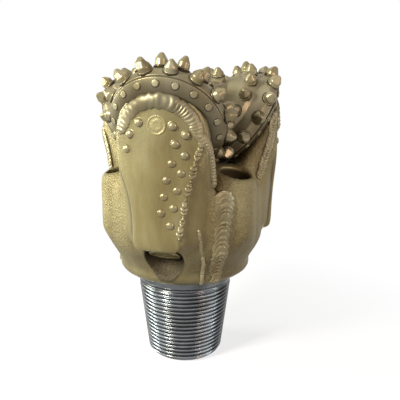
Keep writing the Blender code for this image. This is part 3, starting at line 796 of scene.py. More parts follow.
@dataclass(frozen=True)
class BitSizes:
    """Main sizes of the bit in millimetres and degrees; a leg's own frame has X out through its middle.

    Attributes:
        gauge_r: Radius of the hole that the bit cuts.
        pin_length: Height of the shoulder over the pin's nose.
        journal_deg: Rise of each journal towards the bit's axis.
        gauge_z: Height of the gauge point.
        cone_gauge_r: Radius of a cone at the gauge.
        first_leg_deg: Where the front leg stands.
        body_r: Radius of the body over the flare.
        shank_r: Radius of the shank.
        shank_top_z: Where the flare starts.
        flare_share: Gain of radius with height on the flare.
        bevel_z: Height over the shoulder at which its bevel ends.
        shirttail_r: Radius of the shirttails.
        shank_swell: How far the painted shank stands out at most past the plain solid.
        swell_z: Height where it does.
        swell_half: Height over which that fades.
    """

    gauge_r: float = 107.95
    pin_length: float = 107.95
    journal_deg: float = 36.0
    gauge_z: float = 333.0
    cone_gauge_r: float = 61.0
    first_leg_deg: float = 255.0
    body_r: float = 92.5
    shank_r: float = 74.8
    shank_top_z: float = 120.0
    flare_share: float = 0.60
    bevel_z: float = 5.2
    shirttail_r: float = 107.0
    shank_swell: float = 3.6
    swell_z: float = 117.0
    swell_half: float = 7.0

    @property
    def tilt(self) -> float:
        """Journal rise in radians."""
        return math.radians(self.journal_deg)

    @property
    def journal(self) -> Matrix:
        """Journal frame in the leg frame, Z inward and up along the cone's axis.

        Returns:
            The frame, whose origin lies the cone's gauge radius from the gauge point.
        """
        sine, cosine = math.sin(self.tilt), math.cos(self.tilt)
        origin = (self.gauge_r - self.cone_gauge_r * sine, 0, self.gauge_z - self.cone_gauge_r * cosine)
        return frame_at(origin, (-cosine, 0, sine), (sine, 0, cosine))

    def leg_turn(self, letter: str) -> Matrix:
        """Rotation from the leg frame to the bit."""
        return turn_z(self.first_leg_deg + LEG_STEP_DEG * LEGS.index(letter))

    def swell(self, z: np.ndarray) -> np.ndarray:
        """How far the painted shank stands out past the plain solid, a bell curve over the height."""
        return self.shank_swell * np.exp(-((np.asarray(z) - self.swell_z) / self.swell_half) ** 2)

    def body_radius(self, z: np.ndarray) -> np.ndarray:
        """Radius of shank, flare and body.

        Args:
            z: Heights.
        Returns:
            The flare's radius or the shank's with its bevel, whichever is more, up to the body's.
        """
        flare = self.shank_r + self.flare_share * (z - self.shank_top_z)
        bevel = self.shank_r - np.maximum(0, self.pin_length + self.bevel_z - z)
        return np.minimum(self.body_r, np.maximum(flare, bevel))


SIZES = BitSizes()
SHOP = Workshop()


@dataclass(frozen=True)
class ArmFace:
    """Outer face of a leg's arm, on which its buttons and beads are set.

    Attributes:
        heights: Heights of the stations.
        radii: Radius of the face at each.
        halves: Half width of the face at each.
        chamfer_share: How fast the facets at its sides fall back.
    """

    heights: Row = (135.0, 166.0, 190.0, 222.0, 245.0, 272.0, 330.0)
    radii: Row = (81.0, 103.6, 104.2, 105.0, 106.0, 107.0, 107.0)
    halves: Row = (24.0, 25.0, 26.0, 31.0, 40.0, 47.0, 50.0)
    chamfer_share: float = 0.9

    def point(self, y: np.ndarray, z: np.ndarray) -> np.ndarray:
        """Points of the face and of its side facets.

        Inside the half width x is the root of radius squared less y squared. Outside it falls from
        the edge by the chamfer share of the distance past the edge.

        Args:
            y: Distance to the side of the leg's middle.
            z: Height.
        Returns:
            One point to a row.
        """
        radius, half = (np.interp(z, self.heights, row) for row in (self.radii, self.halves))
        past = np.maximum(0, np.abs(y) - half)
        x = np.sqrt(radius ** 2 - np.minimum(np.abs(y), half) ** 2) - self.chamfer_share * past
        return np.stack([x, y, z], -1)

    def at(self, degrees: np.ndarray, z: np.ndarray) -> np.ndarray:
        """Points of the face at angles round the bit's axis and heights.

        Args:
            degrees: Angles from the leg's middle.
            z: Heights.
        Returns:
            One point to a row.
        """
        degrees, z = np.broadcast_arrays(np.asarray(degrees, float), np.asarray(z, float))
        radius = np.interp(z, self.heights, self.radii)
        return self.point(radius * np.sin(np.radians(degrees)), z)


FACE = ArmFace()


# The forged legs


@dataclass
class LegFace:
    """Machined outer face of the arm: a smooth paddle that stands a little proud of the forging.

    Attributes:
        heights: Heights of the stations.
        radii: Radius of the face at each.
        left: Angle of the left edge at each, in degrees from the leg's middle.
        right: Angle of the right edge at each.
        end_z: Heights of the rings at the lower end.
        end_fall: How far each lies under the face.
        draw_z: Heights of the stations of end_draw.
        end_draw: Degrees that both edges draw in at each.
        left_lip: Degrees of the left wall and edge from the left edge.
        left_drop: How far each lies under the face.
        right_lip: Degrees of the right edge and wall.
        right_drop: How far each lies under the face.
        inset: Degrees from either edge to the even part of the face.
        foot_in: Degrees that the walls' feet draw in.
        foot_drop: How deep they lie.
        even_rounds: How often the left edge is evened out.
        across: Points between the edges.
        up: Rings over the lower end.
    """

    heights: Row = (154.6, 159.0, 163.0, 170.0, 189.0, 207.0, 223.0, 239.0, 250.0, 266.0)
    radii: Row = (100.0, 102.7, 103.9, 104.6, 105.0, 105.5, 106.2, 106.9, 107.15, 107.2)
    left: Row = (-16.4, -16.6, -16.6, -16.4, -16.1, -17.1, -19.3, -23.2, -25.6, -24.6)
    right: Row = (10.8, 10.9, 11.1, 11.5, 12.6, 14.4, 16.2, 19.0, 20.6, 22.4)
    end_z: Row = (154.6, 155.1, 156.0, 157.4, 159.2, 161.5)
    end_fall: Row = (6.0, 2.6, 1.1, 0.3, 0.0, 0.0)
    draw_z: Row = (154.6, 156.0, 158.0, 161.0, 165.0)
    end_draw: Row = (3.6, 2.6, 1.2, 0.3, 0.0)
    left_lip: Row = (-0.5, -0.42, -0.3, 0.0, 0.4)
    left_drop: Row = (8.5, 3.2, 1.3, 0.45, 0.08)
    right_lip: Row = (0.0, 0.7, 1.4, 1.6)
    right_drop: Row = (0.12, 0.7, 2.6, 8.5)
    inset: float = 0.9
    foot_in: float = 2.0
    foot_drop: float = 11.0
    even_rounds: int = 8
    across: int = 14
    up: int = 44

    def skin(self) -> Surface:
        """Skin of the face, its rounded edges and its walls down into the forging.

        At each height a ring runs from the left wall's foot over the rounded edge, across the face
        at a constant radius, and down the right wall. At the lower end the rings draw in and fall
        along a quarter circle.

        Returns:
            The closed skin in the leg frame.
        """
        z = np.concatenate([self.end_z, np.linspace(self.draw_z[-1], self.heights[-1], self.up)])
        fall = np.interp(z, self.end_z, self.end_fall)
        draw = np.interp(z, self.draw_z, self.end_draw)
        left = np.interp(z, self.heights, self.left)
        for _ in range(self.even_rounds):
            left[1:-1] = (left[:-2] + 2 * left[1:-1] + left[2:]) / 4
        left = (left + draw)[:, None]
        right = (np.interp(z, self.heights, self.right) - draw)[:, None]
        share = np.linspace(0, 1, self.across)
        even = left + self.inset + (right - left - 2 * self.inset) * share
        turn = np.radians(np.concatenate([left + self.left_lip, even, right + self.right_lip,
                                          right - self.foot_in, left + self.foot_in], 1))
        drop = np.concatenate([self.left_drop, np.zeros(self.across), self.right_drop, [self.foot_drop] * 2])
        reach = (np.interp(z, self.heights, self.radii) - fall)[:, None] - drop
        flat = np.broadcast_to(z[:, None], turn.shape)
        return woven(np.stack([reach * np.cos(turn), reach * np.sin(turn), flat], -1))


def read_skin(mesh: bpy.types.Mesh) -> Surface:
    """Skin of a mesh that has faces of three and four corners.

    Args:
        mesh: The mesh.
    Returns:
        Its skin, in the mesh's own units.
    """
    points = np.empty(len(mesh.vertices) * 3, np.float32)
    mesh.vertices.foreach_get("co", points)
    corners = np.empty(len(mesh.loops), np.int32)
    mesh.loops.foreach_get("vertex_index", corners)
    sizes = np.empty(len(mesh.polygons), np.int32)
    mesh.polygons.foreach_get("loop_total", sizes)
    starts = np.concatenate([[0], np.cumsum(sizes)[:-1]])
    quads, tris = (corners[starts[sizes == n][:, None] + np.arange(n)].astype(int) for n in (4, 3))
    return Surface(points.reshape(-1, 3).astype(float), quads, tris)


@dataclass
class LegForging:
    """Painted forging of one leg: arm, shirttail, boss and its third of the body.

    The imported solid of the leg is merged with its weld, bead and plug, cut off at the shoulder, laid
    out again in small even cells and relaxed, so that its edges are rounded as on a forging.

    Attributes:
        cell: Size of the cells in millimetres.
        rounds: Relaxing rounds over everything.
        soft_rounds: Further rounds over the cast places.
        dents: Height of the forged unevenness.
        dent_waves: Share, wavelength and seed of each of its fields.
        swell_depth: Radii between which the shank's swell fades inward.
        arm_mid_deg: Middle of the arm's finished face.
        arm_turn: Degrees past it where the face gives way to the casting.
        arm_depth: Radii where it does.
        band_z: Height of a band across the arm that is left as cast.
        band_half: Half height of that band.
        shank_height: Heights where the finished shank gives way to the casting.
        shank_finish: How finished the shank is.
        core_depth: Radii where the finished core does.
        port_reach: Distances from the nozzle bore's axis where its rim does.
        pocket_reach: Distances from the pocket's axis where its rim does.
        pocket_wall: Distances from it over which the pocket's inside ends.
        pocket_mouth: Places along it over which the inside sets in.
    """

    cell: float = 1.45
    rounds: int = 3
    soft_rounds: int = 80
    dents: float = 0.16
    dent_waves: tuple[tuple[float, float, int], ...] = ((0.6, 21.0, 3), (0.4, 8.0, 5))
    swell_depth: Span = (58.0, 66.0)
    arm_mid_deg: float = 2.0
    arm_turn: Span = (24.0, 31.0)
    arm_depth: Span = (88.0, 94.0)
    band_z: float = 244.0
    band_half: float = 6.0
    shank_height: Span = (121.0, 130.0)
    shank_finish: float = 0.7
    core_depth: Span = (60.0, 68.0)
    port_reach: Span = (18.0, 23.0)
    pocket_reach: Span = (23.0, 31.0)
    pocket_wall: Span = (21.6, 23.0)
    pocket_mouth: Span = (-46.0, -28.0)

    def solid(self) -> Surface:
        """The first leg's solids as even cells.

        Returns:
            Their skin in the leg frame.
        """
        whole = bmesh.new()
        for node in ("leg_a", "leg_weld_a", "shirttail_bead_a", "ball_plug_a"):
            part = bmesh.new()
            part.from_mesh(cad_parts[node].data)
            bmesh.ops.remove_doubles(part, verts=part.verts, dist=1e-7)
            if node == "leg_a":
                shoulder = (0, 0, (SIZES.pin_length + 0.05) * MM)
                cut = bmesh.ops.bisect_plane(
                    part, geom=[*part.verts, *part.edges, *part.faces], dist=1e-7,
                    plane_co=shoulder, plane_no=(0, 0, -1), clear_outer=True)
                rim = [item for item in cut["geom_cut"] if isinstance(item, bmesh.types.BMEdge)]
                bmesh.ops.edgeloop_fill(part, edges=rim)
            mesh = bpy.data.meshes.new("part")
            part.to_mesh(mesh)
            part.free()
            whole.from_mesh(mesh)
            bpy.data.meshes.remove(mesh)
        whole.transform(SIZES.leg_turn("a").inverted() @ Matrix.Scale(1 / MM, 4))
        mesh = bpy.data.meshes.new("leg_cells")
        whole.to_mesh(mesh)
        whole.free()
        obj = linked("leg_cells", mesh)
        cells = obj.modifiers.new("cells", "REMESH")
        cells.mode = "VOXEL"
        cells.voxel_size = self.cell
        graph = bpy.context.evaluated_depsgraph_get()
        made = bpy.data.meshes.new_from_object(obj.evaluated_get(graph))
        skin = read_skin(made)
        bpy.data.objects.remove(obj)
        bpy.data.meshes.remove(made)
        bpy.data.meshes.remove(mesh)
        return skin

    @staticmethod
    def relaxed(skin: Surface, weight: np.ndarray, rounds: int) -> np.ndarray:
        """Points moved towards the mean of their neighbours.

        Args:
            skin: The skin whose edges join the neighbours.
            weight: Share of the way that each point goes in a round.
            rounds: How often it goes.
        Returns:
            The new points.
        """
        rims = [faces[:, [k, (k + 1) % corners]]
                for faces, corners in ((skin.quads, 4), (skin.tris, 3)) for k in range(corners)]
        pairs = np.unique(np.sort(np.concatenate(rims), axis=1), axis=0)
        a, b = pairs.T
        points, count = skin.points.copy(), len(skin.points)
        ties = np.maximum(np.bincount(a, minlength=count) + np.bincount(b, minlength=count), 1)[:, None]
        for _ in range(rounds):
            pull = np.stack([np.bincount(a, points[b, k], count) + np.bincount(b, points[a, k], count)
                             for k in range(3)], 1)
            points += weight[:, None] * (pull / ties - points)
        return points

    def casting(self, points: np.ndarray) -> np.ndarray:
        """Where the surface is a rough casting, 1, and where it is a finished face, 0.

        The arm's face, the shank, the core and the bores' rims are finished; the boss, the body and
        the flare are cast. The value is one less the closeness to whatever finished place is nearest.

        Args:
            points: Places in the leg frame.
        Returns:
            One value for each point.
        """
        x, y, z = points.T
        radius, angle = np.hypot(x, y), np.degrees(np.arctan2(y, x))
        arm = (1 - ramp(np.abs(angle - self.arm_mid_deg), *self.arm_turn)) * ramp(radius, *self.arm_depth)
        arm *= 1 - np.exp(-((z - self.band_z) / self.band_half) ** 2)
        shank = self.shank_finish * (1 - ramp(z, *self.shank_height))
        core = 1 - ramp(radius, *self.core_depth)
        port = 1 - ramp(to_axis(points, JetNozzle().mouth)[1], *self.port_reach)
        pocket = 1 - ramp(to_axis(points, Reservoir().pocket)[1], *self.pocket_reach)
        return np.clip(1 - np.maximum.reduce([arm, shank, core, port, pocket]), 0, 1)

    def shape(self) -> tuple[Surface, np.ndarray]:
        """The finished skin in the leg frame and its casting values.

        After relaxing, each point of the shank moves out by the swell, and then each point moves
        along its normal by the dents times two seeded wave fields, full on castings and a sixth of
        that on finished faces.

        Returns:
            The skin and one casting value for each point.
        """
        skin = self.solid().facing_out()
        skin.points = self.relaxed(skin, np.full(len(skin.points), 0.5), self.rounds)
        cast = self.casting(skin.points)
        skin.points = self.relaxed(skin, 0.5 * cast, self.soft_rounds)
        radius = np.hypot(skin.points[:, 0], skin.points[:, 1])
        swell = SIZES.swell(skin.points[:, 2]) * ramp(radius, *self.swell_depth)
        skin.points[:, :2] *= (1 + swell / np.maximum(radius, 1))[:, None]
        uneven = sum(share * waves(skin.points, length, seed) for share, length, seed in self.dent_waves)
        skin.points += skin.normals() * (self.dents * (0.2 + cast) * uneven)[:, None]
        return skin, cast

    def in_pocket(self, skin: Surface) -> np.ndarray:
        """Share from 0 at the reservoir pocket's lip to 1 inside it."""
        away, bore = to_axis(skin.points, Reservoir().pocket)
        return (1 - ramp(bore, *self.pocket_wall)) * ramp(away, *self.pocket_mouth)

    def soil(self, skin: Surface) -> np.ndarray:
        """Painted shade on the forging, the darkest of its terms: darker towards the shank and over the
        arm's top, and painted shade in the bores, behind the cones, in the pocket and in the step beside the
        arm's face.

        Args:
            skin: The forging in the leg frame.
        Returns:
            One value for each point.
        """
        x, y, z = skin.points.T
        radius, angle = np.hypot(x, y), np.degrees(np.arctan2(y, x))
        core = 1 - ramp(radius, 34, 44)
        face = LegFace()
        past_edge = angle - np.interp(z, face.heights, face.left) + 2.0
        step = np.exp(-(past_edge / 2.6) ** 2) * ramp(radius, 80, 88)
        away, bore = to_axis(skin.points, JetNozzle().mouth)
        # Painted shade: the lower body and the arm's top by how light falls, and the bores, pocket, gap
        # behind the cones and the step as shade in recesses.
        return np.maximum.reduce([
            0.42 * (1 - ramp(z, 138, 200)),  # shank and flare
            0.20 * ramp(z, 240, 275),  # top of the arm
            0.60 * core * (1 - ramp(z, 205, 222)),  # fluid bore
            0.75 * core * ramp(z, 230, 250),  # behind the cones
            0.80 * (1 - ramp(bore, 16.8, 18.4)) * (1 - ramp(away, -5.0, -1.5)),  # nozzle bore
            0.88 * self.in_pocket(skin),
            0.66 * step * ramp(z, 160, 175) * (1 - ramp(z, 232, 252)),  # step beside the arm's face
        ])

    def dress(self) -> None:
        """Make the forgings and the machined faces of the three legs."""
        skin, cast = self.shape()
        # Painted shade on the forging.
        soil = self.soil(skin)
        cast = np.maximum(cast, self.in_pocket(skin))
        face = LegFace().skin()
        # Painted shade over the top of the arm's face.
        face_soil = 0.20 * ramp(face.points[:, 2], 240, 275)
        for letter in LEGS:
            SHOP.on_leg(letter, "leg_forging", skin, Slot.PAINT, "leg", cast=cast, soil=soil, sharp=60)
            SHOP.on_leg(letter, "leg_face", face, Slot.PAINT, "leg", soil=face_soil, sharp=60)


# The threaded pin


@dataclass
class ThreadedPin:
    """Bare steel pin with its tapered thread, smooth relief and bore.

    Attributes:
        pitch: Height of one turn.
        depth: Depth of the thread.
        crest: Width of the thread's flat top.
        flank: Height that one flank takes.
        nose_r: Crest radius at the nose.
        taper: Gain of radius with height.
        relief_z: Height where the thread gives way to the smooth relief.
        relief_r: Radius of the relief.
        bore_r: Radius of the bore.
        throat_r: Radius of the bore at the shoulder.
        throat_z: Height where it starts to widen towards that.
        low_z: Height of the lowest ring.
        nose_in: How far the nose's flat end stands in from the crest radius.
        nose_rise: Gain of radius with height on the nose's chamfer.
        fade_in: Heights over which the thread sets in.
        run_out: Distances under the relief over which it fades out.
        rows_per_turn: Rings to a turn of the thread.
        places: Points round the axis.
        reflection_streaks: Streaks of painted reflection where the painted shade is taken off, as (degrees,
            half width, strength).
        film_and_shade: How dark the painted shade is away from the streaks, and how much of that a streak
            takes off.
        root: How dark the painted shade at the thread's root is, and how much of that a streak takes off.
        root_depth: Depths under the crest over which the root's painted shade sets in.
        relief_shade: How dark the painted shade on the relief is, and what share of the pin's other painted
            shade is added there.
        relief_shade: How dark the relief is, and what share of the film is added there.
    """

    pitch: float = 5.08
    depth: float = 2.9
    crest: float = 1.15
    flank: float = 1.55
    nose_r: float = 45.2375
    taper: float = 0.125
    relief_z: float = 95.25
    relief_r: float = 58.7375
    bore_r: float = 28.575
    throat_r: float = 32.6
    throat_z: float = 100.0
    low_z: float = 1.2
    nose_in: float = 4.6
    nose_rise: float = 1.1
    fade_in: Span = (0.5, 6.0)
    run_out: Span = (5.0, 1.0)
    rows_per_turn: int = 15
    places: int = 216
    reflection_streaks: tuple[Triple, ...] = (
        (-56.0, 11.0, 1.0), (-138.0, 30.0, 0.66), (-95.0, 24.0, 0.3), (35.0, 20.0, 0.8), (118.0, 30.0, 0.7),
    )
    film_and_shade: Pair = (0.80, 0.78)
    root: Pair = (0.86, 0.36)
    root_depth: Span = (0.3, 2.3)
    relief_shade: Pair = (0.60, 0.32)

    def tooth(self, phase: np.ndarray) -> np.ndarray:
        """Height of the thread from 0 at the root to 1 at the crest.

        With d the distance from the crest's middle, it is one less the share of the flank that d
        has passed beyond half the crest, held between 0 and 1 and eased at both ends.

        Args:
            phase: Place along the pitch from 0 to 1, with the crest at one half.
        Returns:
            The height at each place.
        """
        distance = np.abs(phase - 0.5) * self.pitch
        fall = np.clip((distance - self.crest / 2) / self.flank, 0, 1)
        eased_share = 0.28
        return 1 - ((1 - eased_share) * fall + eased_share * ramp(fall, 0, 1))

    def root_r(self, z: np.ndarray | float) -> np.ndarray | float:
        """Radius of the cone that the thread's root lies on."""
        return self.nose_r - self.depth + self.taper * z

    def thread(self) -> tuple[np.ndarray, np.ndarray]:
        """Radius and height by row and place, from the nose's edge up to the relief.

        The radius is the root cone plus the depth times the tooth, whose phase is height over pitch
        less the turn, so a point of the crest climbs one pitch in a turn. The thread fades in
        behind the nose's chamfer and runs out below the relief.

        Returns:
            The two arrays.
        """
        fading, end = (self.relief_z - under for under in self.run_out)
        rows = math.ceil((end - self.low_z) / self.pitch * self.rows_per_turn)
        z = np.linspace(self.low_z, end, rows)[:, None]
        turn = (np.arange(self.places) / self.places)[None, :]
        tooth = self.tooth((z / self.pitch - turn) % 1.0)
        fade = ramp(z, *self.fade_in) * (1 - ramp(z, fading, end))
        chamfer = self.nose_r - self.nose_in + 0.4 + self.nose_rise * z
        return np.minimum(self.root_r(z) + self.depth * tooth * fade, chamfer), np.repeat(z, self.places, 1)

    def skin(self) -> Surface:
        """The whole pin: thread, relief, top, bore and nose, each row carried round the axis.

        Returns:
            The closed skin.
        """
        top, relief, wide = SIZES.pin_length, self.relief_z, self.relief_r
        neck = [(self.root_r(relief) + 0.4, relief + 0.6), (wide - 0.9, relief + 3.2),
                (wide - 0.15, relief + 4.6), (wide, relief + 5.4), (wide, top - 1.2),
                (wide + 0.15, top - 0.5)]
        inner = eased([(wide, top), (self.throat_r, top), (self.bore_r, self.throat_z), (self.bore_r, 0.0),
                       (self.nose_r - self.nose_in, 0.0)], 1.5, 4)
        rows = np.repeat(np.concatenate([neck, inner])[:, :, None], self.places, 2)
        radius, height = self.thread()
        return woven(round_axis(np.concatenate([radius, rows[:, 0]]), np.concatenate([height, rows[:, 1]]),
                                self.places), loop=True)

    def soil(self, skin: Surface) -> np.ndarray:
        """Painted shade over the pin, taken off along streaks of painted reflection, and painted shade at
        the thread's root.

        A streak is a bell curve over the angle round the pin.

        Args:
            skin: The pin.
        Returns:
            One value for each point.
        """
        x, y, z = skin.points.T
        # Painted reflections: bright streaks round the pin where the painted shade is taken off.
        middle, half, strength = np.array(self.reflection_streaks).T
        away = (np.degrees(np.arctan2(y, x))[:, None] - middle + 180) % 360 - 180
        streak = (strength * np.exp(-(away / half) ** 2)).sum(1).clip(0, 1)
        film_and_shade, root = (most - less * streak for most, less in (self.film_and_shade, self.root))
        # Painted shade deepens into the thread's root; the relief gets its own painted shade.
        under = self.root_r(z) + self.depth - np.hypot(x, y)
        thread = np.maximum(film_and_shade, root * ramp(under, *self.root_depth))
        relief = self.relief_shade[0] + self.relief_shade[1] * film_and_shade
        return np.where(z < self.relief_z - 3, thread, relief)

    def dress(self) -> None:
        """Make the pin."""
        skin = self.skin()
        SHOP.piece("threaded_pin", skin, Slot.STEEL, "bit_body", [f"leg_{letter}" for letter in LEGS],
                   soil=self.soil(skin), sharp=75)


# Beads, welds and buttons


@dataclass
class Bead:
    """Weld bead with ripples, carried along a path.

    Attributes:
        crown: Height of its middle.
        ripple: Height of a ripple.
        pitch: Distance between ripples.
        bow: How far a ripple's middle runs ahead of its ends, as a share of the width.
        lump: Height of the slower unevenness.
        seed: Seed of its unevenness.
        across: Points over the crown.
        step: Distance between rings.
        saw: Share of a sawtooth in the ripples, steep behind and shallow ahead.
        lump_length: Wavelength of the slower unevenness.
        edge_length: Wavelength of the unevenness of the edges.
        edge_share: How far the edges run in and out, as a share of the width.
        under: Places of the underside's points across, from one edge to the other.
    """

    crown: float
    ripple: float
    pitch: float
    bow: float
    lump: float
    seed: int
    across: int = 15
    step: float = 0.75
    saw: float = 0.0
    lump_length: float = 17.0
    edge_length: float = 6.0
    edge_share: float = 0.07
    under: Row = (0.9, 0.3, -0.3, -0.9)

    def skin(self, path: np.ndarray, out: np.ndarray, width: np.ndarray, sunk: float = 1.2,
             vigour: np.ndarray | None = None, spread: np.ndarray | None = None) -> Surface:
        """Skin of the bead.

        The path is laid out again in even steps and evened out. With v from -1 to 1 across, the
        crown is its height times the root of one less v squared, and the ripple is the power of a
        cosine whose phase is the distance along the path less the bow times one less v squared,
        over the pitch. Either end closes along a quarter ellipse.

        Args:
            path: Points of the path.
            out: Outward direction at each.
            width: Width at each.
            sunk: How deep the underside lies under the surface.
            vigour: Share of the ripple's height at each, or all of it everywhere.
            spread: Times the ripples' pitch at each, or once everywhere.
        Returns:
            The closed skin.
        """
        gone = np.concatenate([[0], np.cumsum(np.linalg.norm(np.diff(path, axis=0), axis=1))])
        s = np.linspace(0, gone[-1], max(8, int(gone[-1] / self.step)))

        def along(values: np.ndarray | None) -> np.ndarray:
            """Values of the path's points at the even steps, or 1 where there are none."""
            return np.ones(len(s)) if values is None else np.interp(s, gone, values)

        spots, up = (np.stack([along(axis) for axis in rows.T], 1) for rows in (path, out))
        for _ in range(6):
            spots[1:-1] = (spots[:-2] + 2 * spots[1:-1] + spots[2:]) / 4
        up /= np.linalg.norm(up, axis=1, keepdims=True)
        side = np.cross(np.gradient(spots, axis=0), up)
        side /= np.linalg.norm(side, axis=1, keepdims=True)
        wide = along(width)
        inside = np.minimum(s, s[-1] - s) / (wide / 2).clip(0.1)
        end = np.sqrt(np.clip(1 - (1 - inside).clip(0, 1) ** 2, 0.02, 1))
        v = np.sin(np.linspace(-1, 1, self.across)[None, :] * math.pi / 2)
        roof = np.sqrt(1 - v ** 2)
        knots = 24
        random = np.random.default_rng(self.seed)
        jitter = np.interp(s, np.linspace(0, s[-1], knots), random.uniform(-0.35, 0.35, knots))
        pitch = self.pitch * along(spread)
        count = np.concatenate([[0], np.cumsum(np.diff(s) / pitch[1:])])
        phase = count[:, None] - (self.bow * wide / 2 / pitch)[:, None] * (1 - v ** 2) + jitter[:, None]
        ridge = (0.5 + 0.5 * np.cos(TAU * phase)) ** 0.65
        part = phase % 1.0
        ridge += self.saw * ((1 - part) * ramp(part, 0.0, 0.16) - ridge)
        slow = waves(spots, self.lump_length, self.seed)[:, None] * self.lump
        edge = 1 + self.edge_share * waves(spots, self.edge_length, self.seed + 1)[:, None]
        relief = self.ripple * along(vigour)[:, None] * (ridge - 0.4)
        high = (self.crown + slow + relief) * roof * end[:, None] - 0.25 * (1 - roof)
        half = wide[:, None] / 2 * end[:, None] * edge
        top = spots[:, None] + side[:, None] * (half * v)[..., None] + up[:, None] * high[..., None]
        base = spots[:, None] + side[:, None] * (half * self.under)[..., None] - up[:, None] * sunk
        return woven(np.concatenate([top, base], 1))


@dataclass
class Welds:
    """The weld over each joint of two legs, the bead round each shirttail and the beads on the arm.

    Attributes:
        seam: Bead over a joint; arch, line, fine and rough are the others.
        seam_span: Heights of the seam's upper and lower end.
        seam_turn: Its angle by height.
        seam_width: Its width by share of its length.
        arch_r: Radius of the shirttail bead round the journal's axis.
        arch_half_deg: Angle that it takes to either side of the top.
        arch_width: Its width by share of its length; arch_vigour and arch_spread likewise.
        arch_lean: How far its crown turns sideways, and arch_lean_at where it does.
        side_x: Its place down the arm's side by height; side_y likewise.
        line_span: Heights of the ends of the lumpy line.
        line_turn: Its angle by height.
        line_width: Its width by height, widest at the lumps.
        fine_span: Heights of the ends of the fine line; fine_turn and fine_radius are by height.
        fine_width: Its width.
        rough_path: Points of the rough bead, and rough_width the width at each.
        rough_out: Way that it faces.
        cast: Roughness of the seam and the arch.
    """

    seam: Bead = field(default_factory=lambda: Bead(
        crown=3.3, ripple=1.9, pitch=5.4, bow=-1.1, lump=0.35, seed=11, across=25, step=0.55, saw=1.0))
    arch: Bead = field(default_factory=lambda: Bead(
        crown=2.8, ripple=1.15, pitch=3.6, bow=0.35, lump=0.3, seed=21, across=17))
    line: Bead = field(default_factory=lambda: Bead(
        crown=1.6, ripple=1.9, pitch=4.7, bow=0.5, lump=0.7, seed=31, across=13, step=0.6))
    fine: Bead = field(default_factory=lambda: Bead(
        crown=1.1, ripple=1.0, pitch=2.4, bow=0.4, lump=0.9, seed=41, across=9, step=0.6))
    rough: Bead = field(default_factory=lambda: Bead(
        crown=1.9, ripple=1.4, pitch=3.0, bow=0.6, lump=0.8, seed=51))
    seam_span: Span = (219.0, 110.5)
    seam_turn: Table = ((110, 125, 140, 155, 170, 185, 200, 219),
                        (39.8, 39.6, 38.9, 38.7, 39.5, 40.6, 41.2, 39.6))
    seam_width: Table = ((0, 0.12, 0.35, 0.75, 1), (28, 27, 21, 19, 14))
    arch_r: float = 41.8
    arch_half_deg: float = 76.0
    arch_width: Table = ((0, 0.06, 0.5, 0.64, 0.76, 1), (10.0, 14.6, 15.6, 13.6, 9.6, 7.6))
    arch_vigour: Table = ((0, 0.08, 0.2, 0.36, 0.44, 0.52), (0.9, 0.6, 0.14, 0.16, 0.7, 1.0))
    arch_spread: Table = ((0, 0.1, 0.2, 0.36, 0.5), (1.0, 1.3, 2.4, 2.0, 1.0))
    arch_lean: float = 1.1
    arch_lean_at: Span = (0.58, 0.76)
    side_x: Table = ((222, 235, 245, 256, 266, 272), (76.0, 79.0, 82.0, 86.5, 92.5, 96.5))
    side_y: Table = ((222, 235, 245, 256, 266, 272), (50.6, 50.5, 50.2, 49.6, 48.4, 45.6))
    line_span: Span = (273.0, 170.0)
    line_turn: Table = ((170, 182.4, 208.2, 223.4, 241.4, 253.1, 266, 273),
                        (11.6, 12.6, 14.9, 16.6, 19.3, 20.9, 23.0, 24.5))
    line_width: Table = (
        (170, 174, 177, 185, 187, 189, 193, 195, 198, 200, 205, 210, 213, 218, 220, 224, 228,
         230, 232, 234, 240, 246, 249, 252, 258, 266, 273),
        (1.5, 2, 7.4, 7, 3, 6.4, 6, 2.2, 2.2, 7, 7.8, 6, 2, 2, 7.2, 8.4, 6,
         2.2, 2.4, 7.4, 8.6, 7.6, 3, 5, 7.8, 6, 7.6))
    fine_span: Span = (181.0, 112.0)
    fine_turn: Table = ((112, 126, 139, 159, 177), (28.0, 28.5, 28.2, 25.4, 23.5))
    fine_radius: Table = ((112, 117, 126, 139, 159, 177), (75.7, 76.6, 79.9, 87.5, 93.2, 96.9))
    fine_width: float = 4.6
    rough_path: tuple[Triple, ...] = ((94.5, -43.0, 297.0), (91.5, -45.3, 286.0), (86.4, -48.6, 263.0),
                                      (79.5, -49.3, 243.0), (74.2, -50.2, 227.0), (72.4, -50.6, 221.0))
    rough_width: Row = (7.0, 10.0, 10.5, 10.5, 10.0, 8.0)
    rough_out: Triple = (0.15, -0.985, 0.05)
    cast: float = 0.12

    def seam_skin(self) -> Surface:
        """Weld from the top of the joint down to the shank, a little wider than the joint's groove.

        Returns:
            The closed skin in the leg frame, as all skins here.
        """
        share = np.linspace(0, 1, 60)
        z = self.seam_span[0] + (self.seam_span[1] - self.seam_span[0]) * share
        path, out = path_at(np.interp(z, *self.seam_turn), SIZES.body_radius(z) + SIZES.swell(z), z)
        return self.seam.skin(path, out, np.interp(share, *self.seam_width), sunk=2.5)

    def arch_path(self) -> np.ndarray:
        """Path of the shirttail bead.

        A circle round the journal's axis, thrown out onto the gauge cylinder, then down the corner
        of the arm's leading side through the stations of side_x and side_y.

        Returns:
            One point to a row.
        """
        turn = np.radians(np.linspace(-self.arch_half_deg, self.arch_half_deg, 64))
        y, up = self.arch_r * np.sin(turn), self.arch_r * np.cos(turn)
        journal = SIZES.journal.translation
        x = np.sqrt(SIZES.shirttail_r ** 2 - y ** 2)
        s = (journal.x + up * math.sin(SIZES.tilt) - x) / math.cos(SIZES.tilt)
        z = journal.z + s * math.sin(SIZES.tilt) + up * math.cos(SIZES.tilt)
        low = np.linspace(z[-1] - 4, self.side_x[0][0], 30)
        side = np.stack([np.interp(low, *self.side_x), np.interp(low, *self.side_y), low], 1)
        return np.concatenate([np.stack([x, y, z], 1), side])

